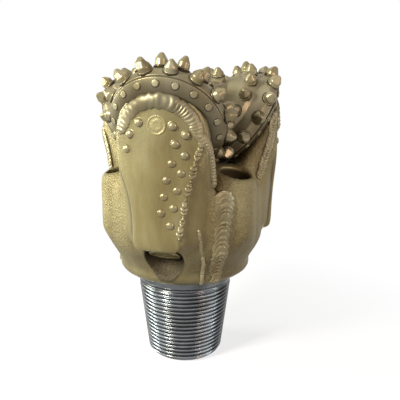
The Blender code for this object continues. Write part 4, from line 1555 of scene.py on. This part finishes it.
    def arch_skin(self) -> Surface:
        """Bead round the shirttail, wide over the arch and narrower down the side.

        Returns:
            The closed skin.
        """
        path = self.arch_path()
        share = np.linspace(0, 1, len(path))
        out = outward(path)
        out[:, 1] += self.arch_lean * ramp(share, *self.arch_lean_at)
        width, vigour, spread = (np.interp(share, *table)
                                 for table in (self.arch_width, self.arch_vigour, self.arch_spread))
        return self.arch.skin(path, out, width, vigour=vigour, spread=spread)

    def line_skin(self) -> Surface:
        """Lumpy bead along the right edge of the arm's face, whose angle sways a little.

        Returns:
            The closed skin.
        """
        height = np.linspace(*self.line_span, 140)
        degrees = np.interp(height, *self.line_turn) + 0.25 * np.sin(height / 5.9)
        path = FACE.at(degrees, height)
        return self.line.skin(path, outward(path), np.interp(height, *self.line_width))

    def fine_skin(self) -> Surface:
        """Fine rough line where the arm's side meets the body.

        Returns:
            The closed skin.
        """
        z = np.linspace(*self.fine_span, 44)
        radius = np.interp(z, *self.fine_radius) + SIZES.swell(z)
        path, out = path_at(np.interp(z, *self.fine_turn), radius, z)
        return self.fine.skin(path, out, np.full(len(z), self.fine_width))

    def rough_skin(self) -> Surface:
        """Rough bead that slants down an arm's trailing side.

        Returns:
            The closed skin.
        """
        out = np.repeat([self.rough_out], len(self.rough_path), 0)
        return self.rough.skin(np.array(self.rough_path), out, np.array(self.rough_width), sunk=2.0)

    def dress(self) -> None:
        """Make the welds and beads of the three legs; the right-hand leg has one bead more."""
        seam, arch, line, fine = self.seam_skin(), self.arch_skin(), self.line_skin(), self.fine_skin()
        # Painted shade over the top of the shirttail bead, under the cone.
        arch_soil = 0.5 * ramp(arch.points[:, 2], 288, 304)
        edge_cast = np.repeat((0.3, 1.0), (len(line.points), len(fine.points)))
        for letter in LEGS:
            SHOP.on_leg(letter, "seam_weld", seam, Slot.WELD, "leg_weld", cast=self.cast, sharp=80)
            SHOP.on_leg(letter, "hardfaced_bead", arch, Slot.WELD, "shirttail_bead",
                        cast=self.cast, soil=arch_soil, sharp=80)
            SHOP.on_leg(letter, "face_edge_beads", joined([line, fine]), Slot.WELD, cast=edge_cast, sharp=80)
        SHOP.on_leg("b", "side_bead", self.rough_skin(), Slot.WELD, cast=0.5, sharp=80)


@dataclass
class Buttons:
    """Domed carbide buttons set flush into the arm's face.

    Attributes:
        places: Angle in degrees and height of each.
        dome_r: Radius of a dome.
        dome_height: Height of a dome.
        foot: Radius past the dome's and height at the foot, the lip's edge and the lip's top.
    """

    places: tuple[Pair, ...] = (
        (8.8, 285.9), (9.9, 268.7), (8.1, 249.9), (5.2, 233.2), (3.5, 216.2), (1.9, 199.4),
        (15.6, 277.4), (14.9, 257.6), (13.0, 240.3), (10.8, 222.8), (8.8, 204.8), (6.8, 186.5),
        (-9.9, 289.0), (-15.7, 277.4), (-18.1, 262.7), (23.8, 269.3),
    )
    dome_r: float = 4.5
    dome_height: float = 3.0
    foot: tuple[Pair, ...] = ((0.3, -1.5), (0.75, -0.12), (0.2, 0.12))

    def skin(self) -> Surface:
        """All buttons of one leg.

        A button is a quarter ellipse of its radius and height carried round its axis, with a thin
        lip where it meets the face and a foot under the surface.

        Returns:
            One skin.
        """
        t = np.linspace(0, math.pi / 2, 9)
        dome = np.stack([self.dome_r * np.cos(t), self.dome_height * np.sin(t)], 1)
        foot = np.array(self.foot) + (self.dome_r, 0)
        button = turned(np.concatenate([[(0, foot[0, 1])], foot, dome]), 22)
        degrees, height = np.array(self.places).T
        spots = FACE.at(degrees, height)
        return copies(button, [frame_at(spot, (spot[0], spot[1], 0), (0, 0, 1)) for spot in spots])

    def dress(self) -> None:
        """Make the buttons of the three legs."""
        skin = self.skin()
        for letter in LEGS:
            SHOP.on_leg(letter, "leg_buttons", skin, Slot.WELD, sharp=50)


# The rolling cones


@dataclass(frozen=True)
class InsertRow:
    """Ring of equal inserts round a cone.

    Attributes:
        insert: One insert along Z, its foot at 0.
        count: How many.
        radius: Radius of their feet.
        s: Place of their feet along the cone's axis.
        lean: Angle in radians from radial towards the nose.
        phase: Share of a step that the first one is turned by.
    """

    insert: Surface
    count: int
    radius: float
    s: float
    lean: float
    phase: float

    def skin(self) -> Surface:
        """All the inserts in the journal frame.

        Returns:
            The ring as one skin.
        """
        lean = (math.cos(self.lean), 0, math.sin(self.lean))
        place = frame_at((self.radius, 0, self.s), lean, (0, 1, 0))
        turns = [TAU * (i + self.phase) / self.count for i in range(self.count)]
        return copies(self.insert, [Matrix.Rotation(turn, 4, "Z") @ place for turn in turns])

    def painted_dark(self) -> np.ndarray:
        """Painted shade: full on the ring round each foot, none above."""
        return np.tile(0.92 * (1 - ramp(self.insert.points[:, 2], 0.2, 0.5)), self.count)


@dataclass
class RollingCone:
    """One cone with its lands, grooves, bearing bore and carbide inserts, in the journal frame.

    Places along the cone's axis are called s, from the gauge point's plane up to the nose.

    Attributes:
        index: 0, 1 or 2; the inner rows of the three cones stand at different places so they mesh.
        places: Points round the axis.
        rim_s: Place of the shell's widest rim, and rim_r its radius.
        back_s: Place of the back face.
        nose_s: Place of the nose's end, and nose_r its radius.
        land_half: Half width of a land.
        land_depth: Depth of the lands under the limit cone.
        groove_depth: Depth of the grooves under it.
        roof_r: Radius at s = 0 of the line that the shell stays under.
        roof_fall: Fall of that line with s.
        first_foot: Place of the first cone's first inner row.
        row_pitch: Shift from cone to cone; a cone's own rows stand three times that apart.
        cavity: Radius and place of the bearing bore's corners.
        gauge: Radius, height, crest share and half crest width of the gauge inserts.
        gauge_count: How many there are.
        gauge_foot: How far they stand in from the rim's radius, and their place.
        gauge_lean_deg: How far they lean to the nose.
        gauge_phase: Share of a step that each cone's gauge row is turned by.
        inner: Radius and height of the inner inserts.
        inner_step: Distance between them round the cone.
        inner_room: Least half distance; closer rows are left out.
        disc: Radius and height of the heel discs' corners.
        disc_count: How many there are.
        disc_share: Their place as a share of the back face's.
    """

    index: int
    places: int = 120
    rim_s: float = 10.5
    rim_r: float = 61.8
    back_s: float = -8.0
    nose_s: float = 76.0
    nose_r: float = 6.0
    land_half: float = 6.4
    land_depth: float = 3.0
    groove_depth: float = 10.0
    roof_r: float = 71.5
    roof_fall: float = 0.68
    first_foot: float = 26.0
    row_pitch: float = 9.0
    cavity: tuple[Pair, ...] = (
        (0, 55.0), (14.8, 55.0), (14.8, 42.2), (22.6, 42.2), (27.6, 37.0), (27.6, 30.0),
        (22.8, 27.0), (30.0, 26.7), (30.0, 1.0), (35.0, 1.0), (35.0, -8.0))
    gauge: Row = (6.9, 11.6, 0.5, 0.9)
    gauge_count: int = 15
    gauge_foot: Pair = (0.4, 9.4)
    gauge_lean_deg: float = 8.0
    gauge_phase: Triple = (0.5, 0.33, 0.67)
    inner: Pair = (6.5, 9.6)
    inner_step: float = 21.5
    inner_room: float = 5.6
    disc: tuple[Pair, ...] = ((0, -3), (4.5, -3), (4.6, -0.4), (4.5, 0.12), (3.45, 0.16), (3.3, 0.9),
                              (2.9, 1.1), (0, 1.12))
    disc_count: int = 18
    disc_share: float = 0.52

    @property
    def slope(self) -> float:
        """Slope of the limit cone that keeps neighbouring cones apart."""
        tilt = SIZES.tilt
        return math.atan(math.sqrt(3) * math.cos(tilt) / math.sqrt(1 + 3 * math.sin(tilt) ** 2))

    def limit(self, foot: float, depth: float) -> Pair:
        """Radius and place at a depth square to the limit cone.

        Args:
            foot: Place on the limit cone.
            depth: Depth under it.
        Returns:
            The radius and the place.
        """
        tilt = SIZES.tilt
        spread = math.sqrt(1 + 3 * math.sin(tilt) ** 2)
        radius = math.sqrt(3) * (SIZES.journal.translation.x - foot * math.cos(tilt)) / spread
        return radius - depth * math.cos(self.slope), foot - depth * math.sin(self.slope)

    def roof(self, s: float) -> float:
        """Radius that keeps the shell's top nearly level over the hole's bottom."""
        return self.roof_r - self.roof_fall * s

    def feet(self) -> list[float]:
        """Where the inner rows stand."""
        return [self.first_foot + self.row_pitch * self.index + 3 * self.row_pitch * row for row in (0, 1)]

    def outline(self) -> list[Pair]:
        """Outside of the shell from the back face to the nose.

        Returns:
            Radius and place of its corners: the heel, then lands and grooves under the roof line.
        """
        gauge = SIZES.cone_gauge_r
        heel = [(gauge + self.back_s / math.tan(SIZES.tilt), self.back_s), (gauge - 0.4, -0.6),
                (gauge - 2.3, 0.3), (gauge - 2.1, 1.1), (gauge + 0.1, 1.7), (self.rim_r, self.rim_s)]
        rows: list[Pair] = []
        last = self.first_foot - self.land_half
        for foot in self.feet():
            low, high = foot - self.land_half, foot + self.land_half
            if low > last:
                rows += [self.limit(last, self.groove_depth), self.limit(low, self.groove_depth)]
            rows += [self.limit(low + 2, self.land_depth), self.limit(high - 2, self.land_depth)]
            last = high
        rows += [self.limit(last, self.groove_depth), self.limit(last + self.land_half, self.groove_depth)]
        low, high = self.rim_s + 1, self.nose_s - self.nose_r
        kept = [(min(r, self.roof(s)), s) for r, s in rows if low < s < high and r > self.nose_r]
        nose = [(self.nose_r, self.nose_s - 1), (self.nose_r / 2, self.nose_s), (0, self.nose_s)]
        return heel + kept + nose

    def shell(self) -> Surface:
        """Shell with its bearing bore, both outlines carried round the axis.

        Returns:
            The closed skin.
        """
        outside = eased(self.outline(), 1.3, 5)
        cavity = eased([*self.cavity, outside[0]], 0.6, 3)
        return turned(np.concatenate([cavity[:-1], outside]), self.places)

    @staticmethod
    def pointed(radius: float, out: float, tip_r: float, shoulder: float) -> Surface:
        """Pointed insert: a barrel with a flared foot, a straight-sided cone and a round tip.

        Args:
            radius: Radius of the barrel.
            out: How far the tip stands out.
            tip_r: Radius of the round tip.
            shoulder: Height of the barrel.
        Returns:
            The closed skin, along Z.
        """
        corners = [(radius + 1.2, 0.1), (radius, 0.35), (radius, shoulder), (tip_r, out - tip_r * 0.75)]
        body = eased(corners, 1.0, 5)
        t = np.linspace(0.5, math.pi / 2, 6)
        tip = np.stack([tip_r * np.cos(t) / math.cos(0.5), out + tip_r * (np.sin(t) - 1)], 1)
        return turned(np.concatenate([[(0, -4), (radius, -4), (radius + 1.3, -0.8)], body[:-1], tip]), 24)

    @staticmethod
    def chisel(radius: float, out: float, broad: float = 0.46, edge: float = 1.8) -> Surface:
        """Chisel insert: a pointed cone whose two sides are cut flat to a crest.

        Each ring keeps its cone radius, and its x is held within a width that falls from the
        barrel's radius to the crest's half width.

        Args:
            radius: Radius of the barrel.
            out: How far the crest stands out.
            broad: Half the crest's length as a share of the radius.
            edge: Half the crest's width.
        Returns:
            The closed skin, along Z.
        """
        skin = RollingCone.pointed(radius, out, radius * broad, out - 6.4)
        x, z = skin.points[:, 0], skin.points[:, 2]
        cut = out - 8.6
        limit = np.interp(z, (cut, out - 0.6, out), (radius, edge + 0.4, edge))
        skin.points[:, 0] = np.where(z > cut, np.clip(x, -limit, limit), x)
        return skin

    def rows(self) -> list[InsertRow]:
        """Gauge row, inner rows and heel row.

        An inner insert whose foot would stand over the roof line is sunk along its own length until
        it doesn't, and made as much longer.

        Returns:
            The rows.
        """
        inward, foot_s = self.gauge_foot
        rows = [InsertRow(self.chisel(*self.gauge), self.gauge_count, self.rim_r - inward, foot_s,
                          math.radians(self.gauge_lean_deg), self.gauge_phase[self.index])]
        cosine, sine = math.cos(self.slope), math.sin(self.slope)
        for number, foot in enumerate(self.feet()):
            radius, s = self.limit(foot, self.land_depth)
            count = max(3, round(TAU * radius / self.inner_step))
            if radius * math.sin(math.pi / count) > self.inner_room:
                sink = max(0.0, (radius - self.roof(s)) / (cosine + self.roof_fall * sine))
                insert = self.chisel(self.inner[0], self.inner[1] + sink)
                rows.append(InsertRow(insert, count, radius - sink * cosine, s - sink * sine, self.slope,
                                      0.5 * number))
        s = self.back_s * self.disc_share
        radius = SIZES.cone_gauge_r + s / math.tan(SIZES.tilt)
        disc = turned(eased(self.disc, 0.25, 3), 20)
        return [*rows, InsertRow(disc, self.disc_count, radius, s, SIZES.tilt - math.pi / 2, 0.0)]

    @staticmethod
    def soil(shell: Surface) -> np.ndarray:
        """Painted shade on the shell in the bearing bore, in the heel groove, on the back face by the
        shirttail and over the heel, and a darker tone on the lands: the sum, up to 0.7.

        Args:
            shell: The shell in the journal frame.
        Returns:
            One value for each point.
        """
        radius, s = np.hypot(shell.points[:, 0], shell.points[:, 1]), shell.points[:, 2]
        bore = 1 - ramp(radius - np.interp(s, (-8, 30, 60), (36, 31, 16)), 0.0, 2.0)
        lands = (1 - ramp(np.interp(s, (10, 76), (62, 6)) - radius, 1.0, 5.0)) * ramp(s, 9, 11)
        groove = np.exp(-((s - 0.65) / 0.6) ** 2) * ramp(radius, 55, 57)
        back = (1 - ramp(s, -7.4, -5.4)) * ramp(radius, 36, 40)
        heel = 1 - ramp(s, 8.0, 11.0)
        # Painted shade in the bore, the groove, the back face and over the heel band; the lands are only
        # made darker.
        return np.clip(0.6 * bore + 0.6 * np.maximum(groove, back) + 0.34 * heel + 0.16 * lands, 0, 0.7)

    def dress(self) -> None:
        """Make the shell and the inserts of this cone."""
        letter = LEGS[self.index]
        body, place = f"cone_{letter}", SIZES.leg_turn(letter) @ SIZES.journal
        shell, rows = self.shell(), self.rows()
        SHOP.piece(f"cone_shell_{letter}", shell.moved(place), Slot.WELD, body, (body,),
                   cast=0.15, soil=self.soil(shell), sharp=50)
        # Painted shade on the shell, and on a ring round each insert's foot.
        inserts, painted_dark = joined(row.skin() for row in rows), np.concatenate([row.painted_dark() for row in rows])
        SHOP.piece(f"cone_inserts_{letter}", inserts.moved(place), Slot.WELD, body, (body,),
                   soil=painted_dark, sharp=26)


# Reservoir, nozzle and ball plug


@dataclass
class Reservoir:
    """Cap and snap ring of a leg's grease reservoir, with its hidden diaphragm and canister.

    Attributes:
        cap_x: Where the cap's middle stands out from the bit's axis, and cap_z how high.
        lean_deg: Lean of the pocket from upright.
        cap_outline: Radius and height of the cap's corners.
        ring_outline: Radius and height of the ring's corners.
    """

    cap_x: float = 80.0
    cap_z: float = 153.0
    lean_deg: float = 30.0
    cap_outline: tuple[Pair, ...] = (
        (2.4, -5.2), (3.2, -6.2), (10.2, -6.2), (10.9, -5.0), (12.6, -5.0), (13.4, -6.8), (16.6, -6.8),
        (17.5, -5.8), (17.5, 2.8), (21.2, 3.0), (21.2, 8.7), (2.4, 8.7))
    ring_outline: tuple[Pair, ...] = ((18.4, 0.3), (22.6, 0.3), (22.6, 2.4), (18.4, 2.4))

    @property
    def pocket(self) -> Matrix:
        """Pocket frame in the leg frame, Z from the cap up into the leg."""
        lean = math.radians(self.lean_deg)
        return frame_at((self.cap_x, 0, self.cap_z), (-math.sin(lean), 0, math.cos(lean)), (0, 1, 0))

    def cap(self) -> Surface:
        """Raised cap with a ring groove, a flange behind the snap ring and the pressure hole."""
        return turned(eased(self.cap_outline, 0.45, 3, closed=True), 64, loop=True)

    def snap_ring(self) -> Surface:
        """Flat round-edged ring in its groove."""
        return turned(eased(self.ring_outline, 0.5, 4, closed=True), 64, loop=True)

    def dress(self) -> None:
        """Make the caps and rings of the three legs and finish the solids behind them."""
        cap, ring = self.cap(), self.snap_ring()
        for letter in LEGS:
            SHOP.on_leg(letter, "grease_cap", cap, Slot.PAINT, "reservoir_cap", self.pocket, cast=0.1)
            SHOP.on_leg(letter, "cap_ring", ring, Slot.SPRING, "cap_snap_ring", self.pocket)
            SHOP.dress_solid(f"diaphragm_{letter}", Slot.RUBBER)
            SHOP.dress_solid(f"canister_{letter}", Slot.STEEL)


@dataclass
class JetNozzle:
    """Carbide nozzle, its seal and its retaining ring in the boss.

    Attributes:
        boss_deg: Angle of the boss from the leg's middle.
        mouth_r: Radius of the mouth's middle, and mouth_z its height.
        tilt_deg: Tilt of the bore outward from upright.
        outline: Radius and height under the mouth of the nozzle's corners.
        ring_outline: The same of the retaining ring.
        notches: How many wrench notches the ring has, and notch_depth how deep they are.
    """

    boss_deg: float = -60.0
    mouth_r: float = 77.0
    mouth_z: float = 233.0
    tilt_deg: float = 16.0
    outline: tuple[Pair, ...] = (
        (12.0, -44.0), (16.4, -44.0), (16.4, -37.33), (13.3, -37.33), (13.3, -33.33), (16.4, -33.33),
        (16.4, -18.0), (9.5, -18.0), (6.5, -21.0), (6.5, -31.0))
    ring_outline: tuple[Pair, ...] = ((11.0, -17.7), (16.4, -17.7), (16.4, -12.7), (12.0, -12.7))
    notches: int = 6
    notch_depth: float = 1.8

    @property
    def mouth(self) -> Matrix:
        """Mouth frame in the leg frame, Z out of the port.

        Returns:
            The frame.
        """
        tilt = math.radians(self.tilt_deg)
        out = turn_z(self.boss_deg) @ Vector((1, 0, 0))
        return frame_at(out * self.mouth_r + Vector((0, 0, self.mouth_z)),
                        out * math.sin(tilt) + Vector((0, 0, math.cos(tilt))), out)

    def nozzle(self) -> Surface:
        """Nozzle with its seal groove and a bore that narrows to the exit."""
        return turned(eased(self.outline, 0.6, 4, closed=True), 56, loop=True)

    def retainer(self) -> Surface:
        """Retaining ring whose inside is cut with wrench notches.

        The bore's radius gains the notch depth where the cosine of the angle times the number of
        notches is high.

        Returns:
            The closed skin.
        """
        radius, height = np.split(eased(self.ring_outline, 0.5, 4, closed=True), 2, axis=1)
        places = 120
        angle = np.arange(places) * TAU / places
        notch = ramp(np.cos(self.notches * angle), 0.72, 0.9)[None, :] * (1 - ramp(radius, 12.6, 13.4))
        return woven(round_axis(radius + self.notch_depth * notch, height, places), loop=True)

    def dress(self) -> None:
        """Make the nozzles and rings of the three legs and finish the seals behind them."""
        nozzle, retainer = self.nozzle(), self.retainer()
        for letter in LEGS:
            SHOP.on_leg(letter, "jet_nozzle", nozzle, Slot.CARBIDE, "nozzle", self.mouth)
            # Painted shade: the retaining ring is darkened evenly where it sits in the port.
            SHOP.on_leg(letter, "nozzle_ring", retainer, Slot.PAINT, "nozzle_retainer", self.mouth,
                        cast=0.1, soil=0.3)
            SHOP.dress_solid(f"nozzle_seal_{letter}", Slot.RUBBER)


@dataclass
class BallPlug:
    """Plug of the ball hole, welded over: a faint ring round a shallow dish in the shirttail.

    Attributes:
        hole_z: Height of the hole's outer end.
        race_r: Radius of the ball race's middle, and race_s its place along the journal.
    """

    hole_z: float = 286.6
    race_r: float = 22.0
    race_s: float = 33.5

    @property
    def hole(self) -> Matrix:
        """Hole frame in the leg frame, Z from the race out to the face."""
        race = SIZES.journal @ Vector((-self.race_r, 0, self.race_s))
        return frame_at(race, Vector((SIZES.gauge_r, 0, self.hole_z)) - race, (0, 1, 0))

    def skin(self) -> Surface:
        """Pin with its head, whose outer face has a ring ridge, a groove and a dish.

        Returns:
            The closed skin in the hole's frame.
        """
        out = (self.hole.inverted() @ Vector((SIZES.gauge_r, 0, self.hole_z))).z
        face = out - (SIZES.gauge_r - SIZES.shirttail_r)
        outline = [(0, 7.5), (5.7, 7.5), (5.7, out - 7.7), (9.4, out - 7.7), (9.9, face - 1.0),
                   (9.9, face - 0.1), (9.2, face + 0.12), (8.3, face + 0.08), (7.5, face - 0.25),
                   (6.2, face - 0.15), (4.4, face + 0.05), (2.0, face - 0.15), (0, face - 0.2)]
        return turned(eased(outline, 0.7, 4), 48)

    def dress(self) -> None:
        """Make the plugs of the three legs and finish the bearing solids."""
        skin = self.skin()
        for letter in LEGS:
            SHOP.on_leg(letter, "ball_hole_plug", skin, Slot.PAINT, "ball_plug", self.hole,
                        cast=0.15, sharp=60)
            for node, slot in (("journal_bush", Slot.BRONZE), ("thrust_washer", Slot.BRONZE),
                               ("cone_seal", Slot.RUBBER), ("locking_balls", Slot.STEEL)):
                SHOP.dress_solid(f"{node}_{letter}", slot)


# The studio


@dataclass(frozen=True)
class Lamp:
    """Soft square lamp that faces the bit's middle.

    Attributes:
        name: Its name.
        place: Where it stands, in metres.
        side: Length of its side.
        power: Watts.
        colour: Colour of its light.
    """

    name: str
    place: Triple
    side: float
    power: float
    colour: Triple = (1.0, 1.0, 1.0)


@dataclass
class Studio:
    """Pale floor, white surroundings, soft lamps and the camera of the photograph.

    Attributes:
        lamps: The lamps.
        aim: Where they look.
        fill: Even light from all sides.
        near: Distance up to which the floor shows its shadow in full.
        far: Distance where it is plain white.
        lift: How bright the floor is in itself near the bit.
        floor_r: Radius of the floor, and floor_z its height, a little under the nose.
        distance: How far in front of the bit the camera stands, and height how high.
        pitch_deg: How far it looks down.
        lens: Its focal length in millimetres.
        shift: Its sideways shift, as a share of the frame.
    """

    lamps: tuple[Lamp, ...] = (
        Lamp("key", (-0.90, -0.72, 0.80), 0.30, 24.0, (0.985, 1.0, 0.90)),
        Lamp("warm", (0.75, -0.90, 0.55), 0.3, 3.9, (1.0, 0.72, 0.66)),
        Lamp("left", (-1.05, 0.15, 0.40), 0.4, 11.0, (0.94, 1.0, 0.92)),
        Lamp("strip", (1.08, -0.16, 0.24), 0.22, 1.8, (0.84, 0.93, 1.0)),
        Lamp("top", (-0.1, 0.25, 1.15), 0.4, 0.6),
    )
    aim: Triple = (0.0, 0.0, 0.18)
    fill: float = 0.10
    near: float = 0.10
    far: float = 0.42
    lift: float = 0.76
    floor_r: float = 3.0
    floor_z: float = -0.0006
    distance: float = 0.571
    height: float = 0.316
    pitch_deg: float = 12.4
    lens: float = 43.4
    shift: float = 0.0375

    def light(self) -> None:
        """Stand up the lamps."""
        for lamp in self.lamps:
            data = bpy.data.lights.new(lamp.name, "AREA")
            data.shape, data.size, data.energy, data.color = "SQUARE", lamp.side, lamp.power, lamp.colour
            obj = linked(lamp.name, data)
            obj.location = lamp.place
            obj.rotation_euler = (Vector(self.aim) - Vector(lamp.place)).to_track_quat("-Z", "Y").to_euler()

    @staticmethod
    def looked_at(nodes: bpy.types.Nodes, links: bpy.types.NodeLinks) -> Socket:
        """Value that is 1 for the eye, reflections and glass, and 0 for light on the object.

        Args:
            nodes: Nodes of the tree that asks.
            links: Its links.
        Returns:
            The value.
        """
        path = nodes.new("ShaderNodeLightPath")
        seen = path.outputs["Is Camera Ray"]
        for kind in ("Is Glossy Ray", "Is Transmission Ray"):
            most = nodes.new("ShaderNodeMath")
            most.operation = "MAXIMUM"
            links.new(seen, most.inputs[0])
            links.new(path.outputs[kind], most.inputs[1])
            seen = most.outputs[0]
        return seen

    def surround(self) -> None:
        """White world for the eye and for reflections, and a soft even one for light."""
        world = bpy.data.worlds.new("surround")
        bpy.context.scene.world = world
        world.use_nodes = True
        nodes, links = world.node_tree.nodes, world.node_tree.links
        back = nodes["Background"]
        seen = self.looked_at(nodes, links)
        tone = nodes.new("ShaderNodeMapRange")
        tone.inputs["To Min"].default_value = self.fill
        tone.inputs["To Max"].default_value = 1.0
        links.new(seen, tone.inputs["Value"])
        links.new(tone.outputs["Result"], back.inputs["Strength"])
        back.inputs["Color"].default_value = (1.0, 1.0, 1.0, 1.0)

    def floor(self) -> None:
        """Round pale floor under the nose, white to the eye where no shadow falls."""
        places = 64
        rim = round_axis(np.array([[self.floor_r]]), np.array([[self.floor_z]]), places)[0]
        mesh = bpy.data.meshes.new("floor")
        mesh.from_pydata([*rim.tolist(), (0, 0, self.floor_z)], [],
                         [(i, (i + 1) % places, places) for i in range(places)])
        bench = Bench("floor")
        shader = bench.shader
        shader.inputs["Roughness"].default_value = 0.9
        shader.inputs["Specular IOR Level"].default_value = 0.0
        shader.inputs["Emission Color"].default_value = (1.0, 1.0, 1.0, 1.0)
        length = bench.node("VectorMath")
        length.operation = "LENGTH"
        bench.join(bench.place, length.inputs[0])
        far = bench.span(length.outputs["Value"], self.near, self.far, 0.0, 1.0)
        shadowed = bench.colours(far, [(0.0, (0.3, 0.3, 0.3)), (1.0, (0.0, 0.0, 0.0))])
        bench.join(shadowed, shader.inputs["Base Color"])
        seen = self.looked_at(bench.nodes, bench.material.node_tree.links)
        glow = bench.span(far, 0.0, 1.0, self.lift, 1.0)
        bench.join(bench.maths("MULTIPLY", glow, seen), shader.inputs["Emission Strength"])
        mesh.materials.append(bench.material)
        linked("floor", mesh)

    def camera(self) -> None:
        """Stand the camera where the photograph was taken from."""
        data = bpy.data.cameras.new("camera")
        data.lens, data.sensor_width, data.shift_x = self.lens, 36.0, self.shift
        obj = linked("camera", data)
        obj.location = (0.0, -self.distance, self.height)
        obj.rotation_euler = (math.radians(90 - self.pitch_deg), 0.0, 0.0)
        bpy.context.scene.camera = obj

    def set_up(self) -> None:
        """Build the whole studio."""
        self.light()
        self.surround()
        self.floor()
        self.camera()
        bpy.context.scene.view_settings.view_transform = "Standard"


def main() -> None:
    """Build the bit, then the studio."""
    logging.basicConfig(level=logging.INFO, format="%(message)s")
    for part in (ThreadedPin(), LegForging(), Welds(), Buttons(), *(RollingCone(i) for i in range(3)),
                 Reservoir(), JetNozzle(), BallPlug()):
        part.dress()
    Studio().set_up()


if __name__ == "__main__":
    main()
